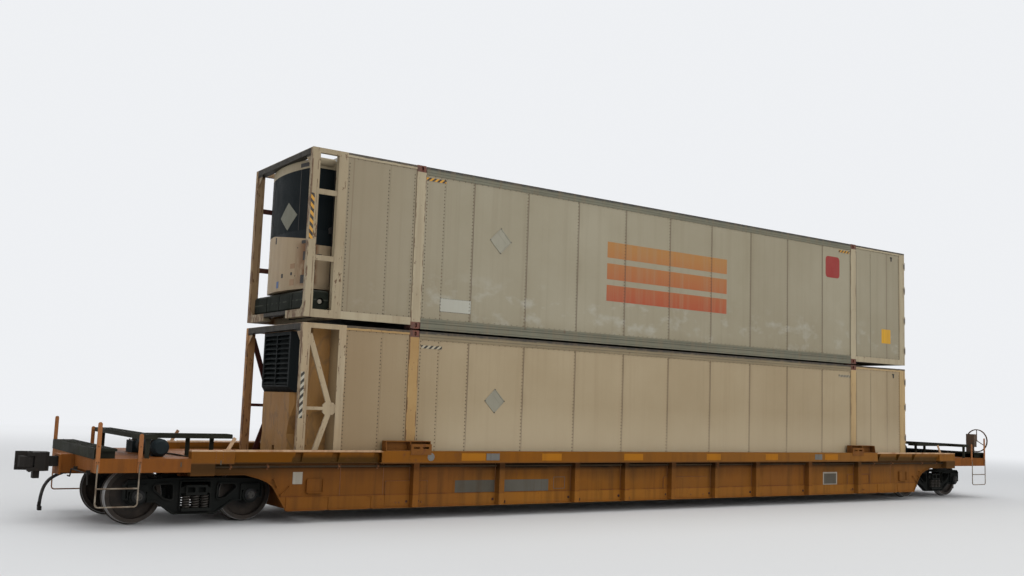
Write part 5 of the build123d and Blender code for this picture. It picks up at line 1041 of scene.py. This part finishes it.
olive = weathered("unit_olive_card", (0.115, 0.112, 0.078), (0.15, 0.145, 0.105), (0.06, 0.056, 0.042),
    rough=0.5, rust_share=0.0)
card = bmesh.new()
slab(card, (-0.0025, 0.0005), (-0.222, 0.222), (-0.222, 0.222))
bmesh.ops.rotate(card, verts=card.verts, cent=(0, 0, 0), matrix=Matrix.Rotation(math.radians(45), 3, "X"))
bmesh.ops.scale(card, verts=card.verts, vec=(1, 1.0, 0.78))
bmesh.ops.translate(card, verts=card.verts, vec=(0, -0.2145, 5.1))
bowed(card, [-0.48 + 0.06 * step for step in range(10)])
finished("unit_cover_blank_card", card, olive)
trim = bmesh.new()
for y in (-0.585, 0.585):
    slab(trim, (-0.003, 0.001), (y - 0.006, y + 0.006), (4.823, 5.879))
flat_fittings(trim, 0.004, 0.001,
    ((0.277, 4.725, 0.055, 0.115), (-0.774, 4.61, 0.13, 0.055), (-0.11, 4.07, 0.07, 0.07),
    (-0.443, 4.085, 0.05, 0.05), (-0.77, 3.975, 0.09, 0.14), (-0.8, 4.37, 0.07, 0.15),
    (-0.6, 4.52, 0.018, 0.018), (-0.56, 4.04, 0.016, 0.016)))
slab(trim, (-0.0035, 0.001), (-0.79, -0.56), (5.915, 5.985))
bowed(trim, [-0.75 + 0.1 * step for step in range(16)])
disc(trim, (-7.52, -0.93, 4.84), (0, -1, 0), 0.048, 0.03, 20)
slab(trim, (-7.56, -7.48), (-0.95, -0.928), (4.77, 4.83), 0.004)
for x in (-7.78, -7.5):
    slab(trim, (x - 0.005, x + 0.005), (-0.934, -0.928), (3.87, 5.87))
slab(trim, (-7.75, -7.66), (-0.934, -0.929), (4.36, 4.405))
finished("unit_vents_and_latches", trim, flat_black)
tags = bmesh.new()
flat_fittings(tags, 0.003, 0.0005, ((-0.47, 3.935, 0.135, 0.11), (-0.47, 4.215, 0.14, 0.085)))
bowed(tags, [-0.54, -0.47, -0.4])
finished("unit_blank_tags", tags,
    weathered("unit_tag_tan", (0.3, 0.19, 0.105), (0.25, 0.15, 0.08), (0.12, 0.07, 0.04), rough=0.5,
    rust_share=0.3))
blue = bmesh.new()
slab(blue, (-0.003, 0.0005), (0.03, 0.125), (3.868, 3.985))
bowed(blue, [0.08])
finished("unit_blue_tag", blue,
    weathered("faded_blue", (0.045, 0.095, 0.23), (0.07, 0.12, 0.24), (0.05, 0.06, 0.09), rough=0.5,
    rust_share=0.0))

# Fuel tank: a swaged steel tank in dark grey-green paint across the nose, with paler lines on
# its creases and a pale filler cap in each end.
def tank_marks(skin, tone):
    height = skin.z
    dusty = skin.times(skin.near(height, 3.61, 0.016), skin.patches(0.42, 0.58, 6.0, 5.0))
    return skin.coats(tone, (dusty, (0.11, 0.112, 0.088), 0.55),
        (skin.ramp(height, 3.735, 3.766, 0.0, 0.5), (0.085, 0.084, 0.07)))


tank_green = weathered("tank_grey_green", (0.0105, 0.0125, 0.009), (0.015, 0.0172, 0.0128),
    (0.016, 0.015, 0.011), rough=0.55, rust_share=0.25, streaks=0.4, extra=tank_marks, shine=0.03)
dress(tank_green, "upper_fuel_tank")
caps = bmesh.new()
for side in (-1, 1):
    disc(caps, (-7.74, side * 1.101, 3.586), (0, side, 0), 0.036, 0.022, 24)
    slab(caps, (-7.768, -7.712), (side * 1.123, side * 1.129), (3.58, 3.592), 0.002)
finished("tank_filler_caps", caps, old_white)
bands = bmesh.new()
for y in (-0.995, -0.435, 0.435, 0.995):
    for x in (-8.0005, -7.5995):
        slab(bands, (x - 0.002, x + 0.002), (y - 0.022, y + 0.022), (3.484, 3.728))
    slab(bands, (-7.962, -7.638), (y - 0.022, y + 0.022), (3.764, 3.769))
finished("tank_hold_down_bands", bands, tank_green)

# Lower refrigeration unit: a tan steel cabinet and fan case, creased and dirty at the foot,
# under a black hood of louvres.
def case_marks(skin, tone):
    height = skin.z
    dirt = skin.ramp(skin.plus(height, skin.times(skin.noise(3.0, 4.0), 0.4)), 1.3, 0.85, 0.0, 0.55)
    dents = skin.noise(2.1, 3.0, 0.5, (1, 1.6, 0.6))
    # Painted shade: thin darker lines along the dents stand for the shade in their creases.
    edge = skin.times(skin.ramp(dents, 0.46, 0.5), skin.ramp(dents, 0.54, 0.5))
    return skin.coats(tone, (dirt, (0.075, 0.05, 0.03)), (edge, (0.075, 0.052, 0.034), 0.35))


dress(weathered("unit_case_tan", (0.25, 0.124, 0.032), (0.288, 0.154, 0.047), (0.115, 0.066, 0.03),
    rough=0.55, rust_share=0.15, streaks=0.4, extra=case_marks), "lower_unit_housing")
hood_black = weathered("louvre_black", (0.005, 0.007, 0.007), (0.008, 0.01, 0.01), (0.012, 0.012, 0.01),
    rough=0.5, rust_share=0.0, streaks=0.35, shine=0.05)
dress(hood_black, "lower_unit_grille")
fixings = bmesh.new()
for side in (-1, 1):
    studs(fixings, [(-7.82, side * 0.802, z) for z in (2.16, 2.45, 2.75, 3.03)], (-0.6, side * 0.8, 0), 0.01,
        0.006)
studs(fixings, [(-7.75, y, z) for y in (-0.92, -0.75, 0.75, 0.92) for z in (0.7, 1.2, 1.7)], (-1, 0, 0), 0.01,
    0.006)
finished("lower_unit_fixings", fixings, hood_black)

bpy.context.view_layer.update()
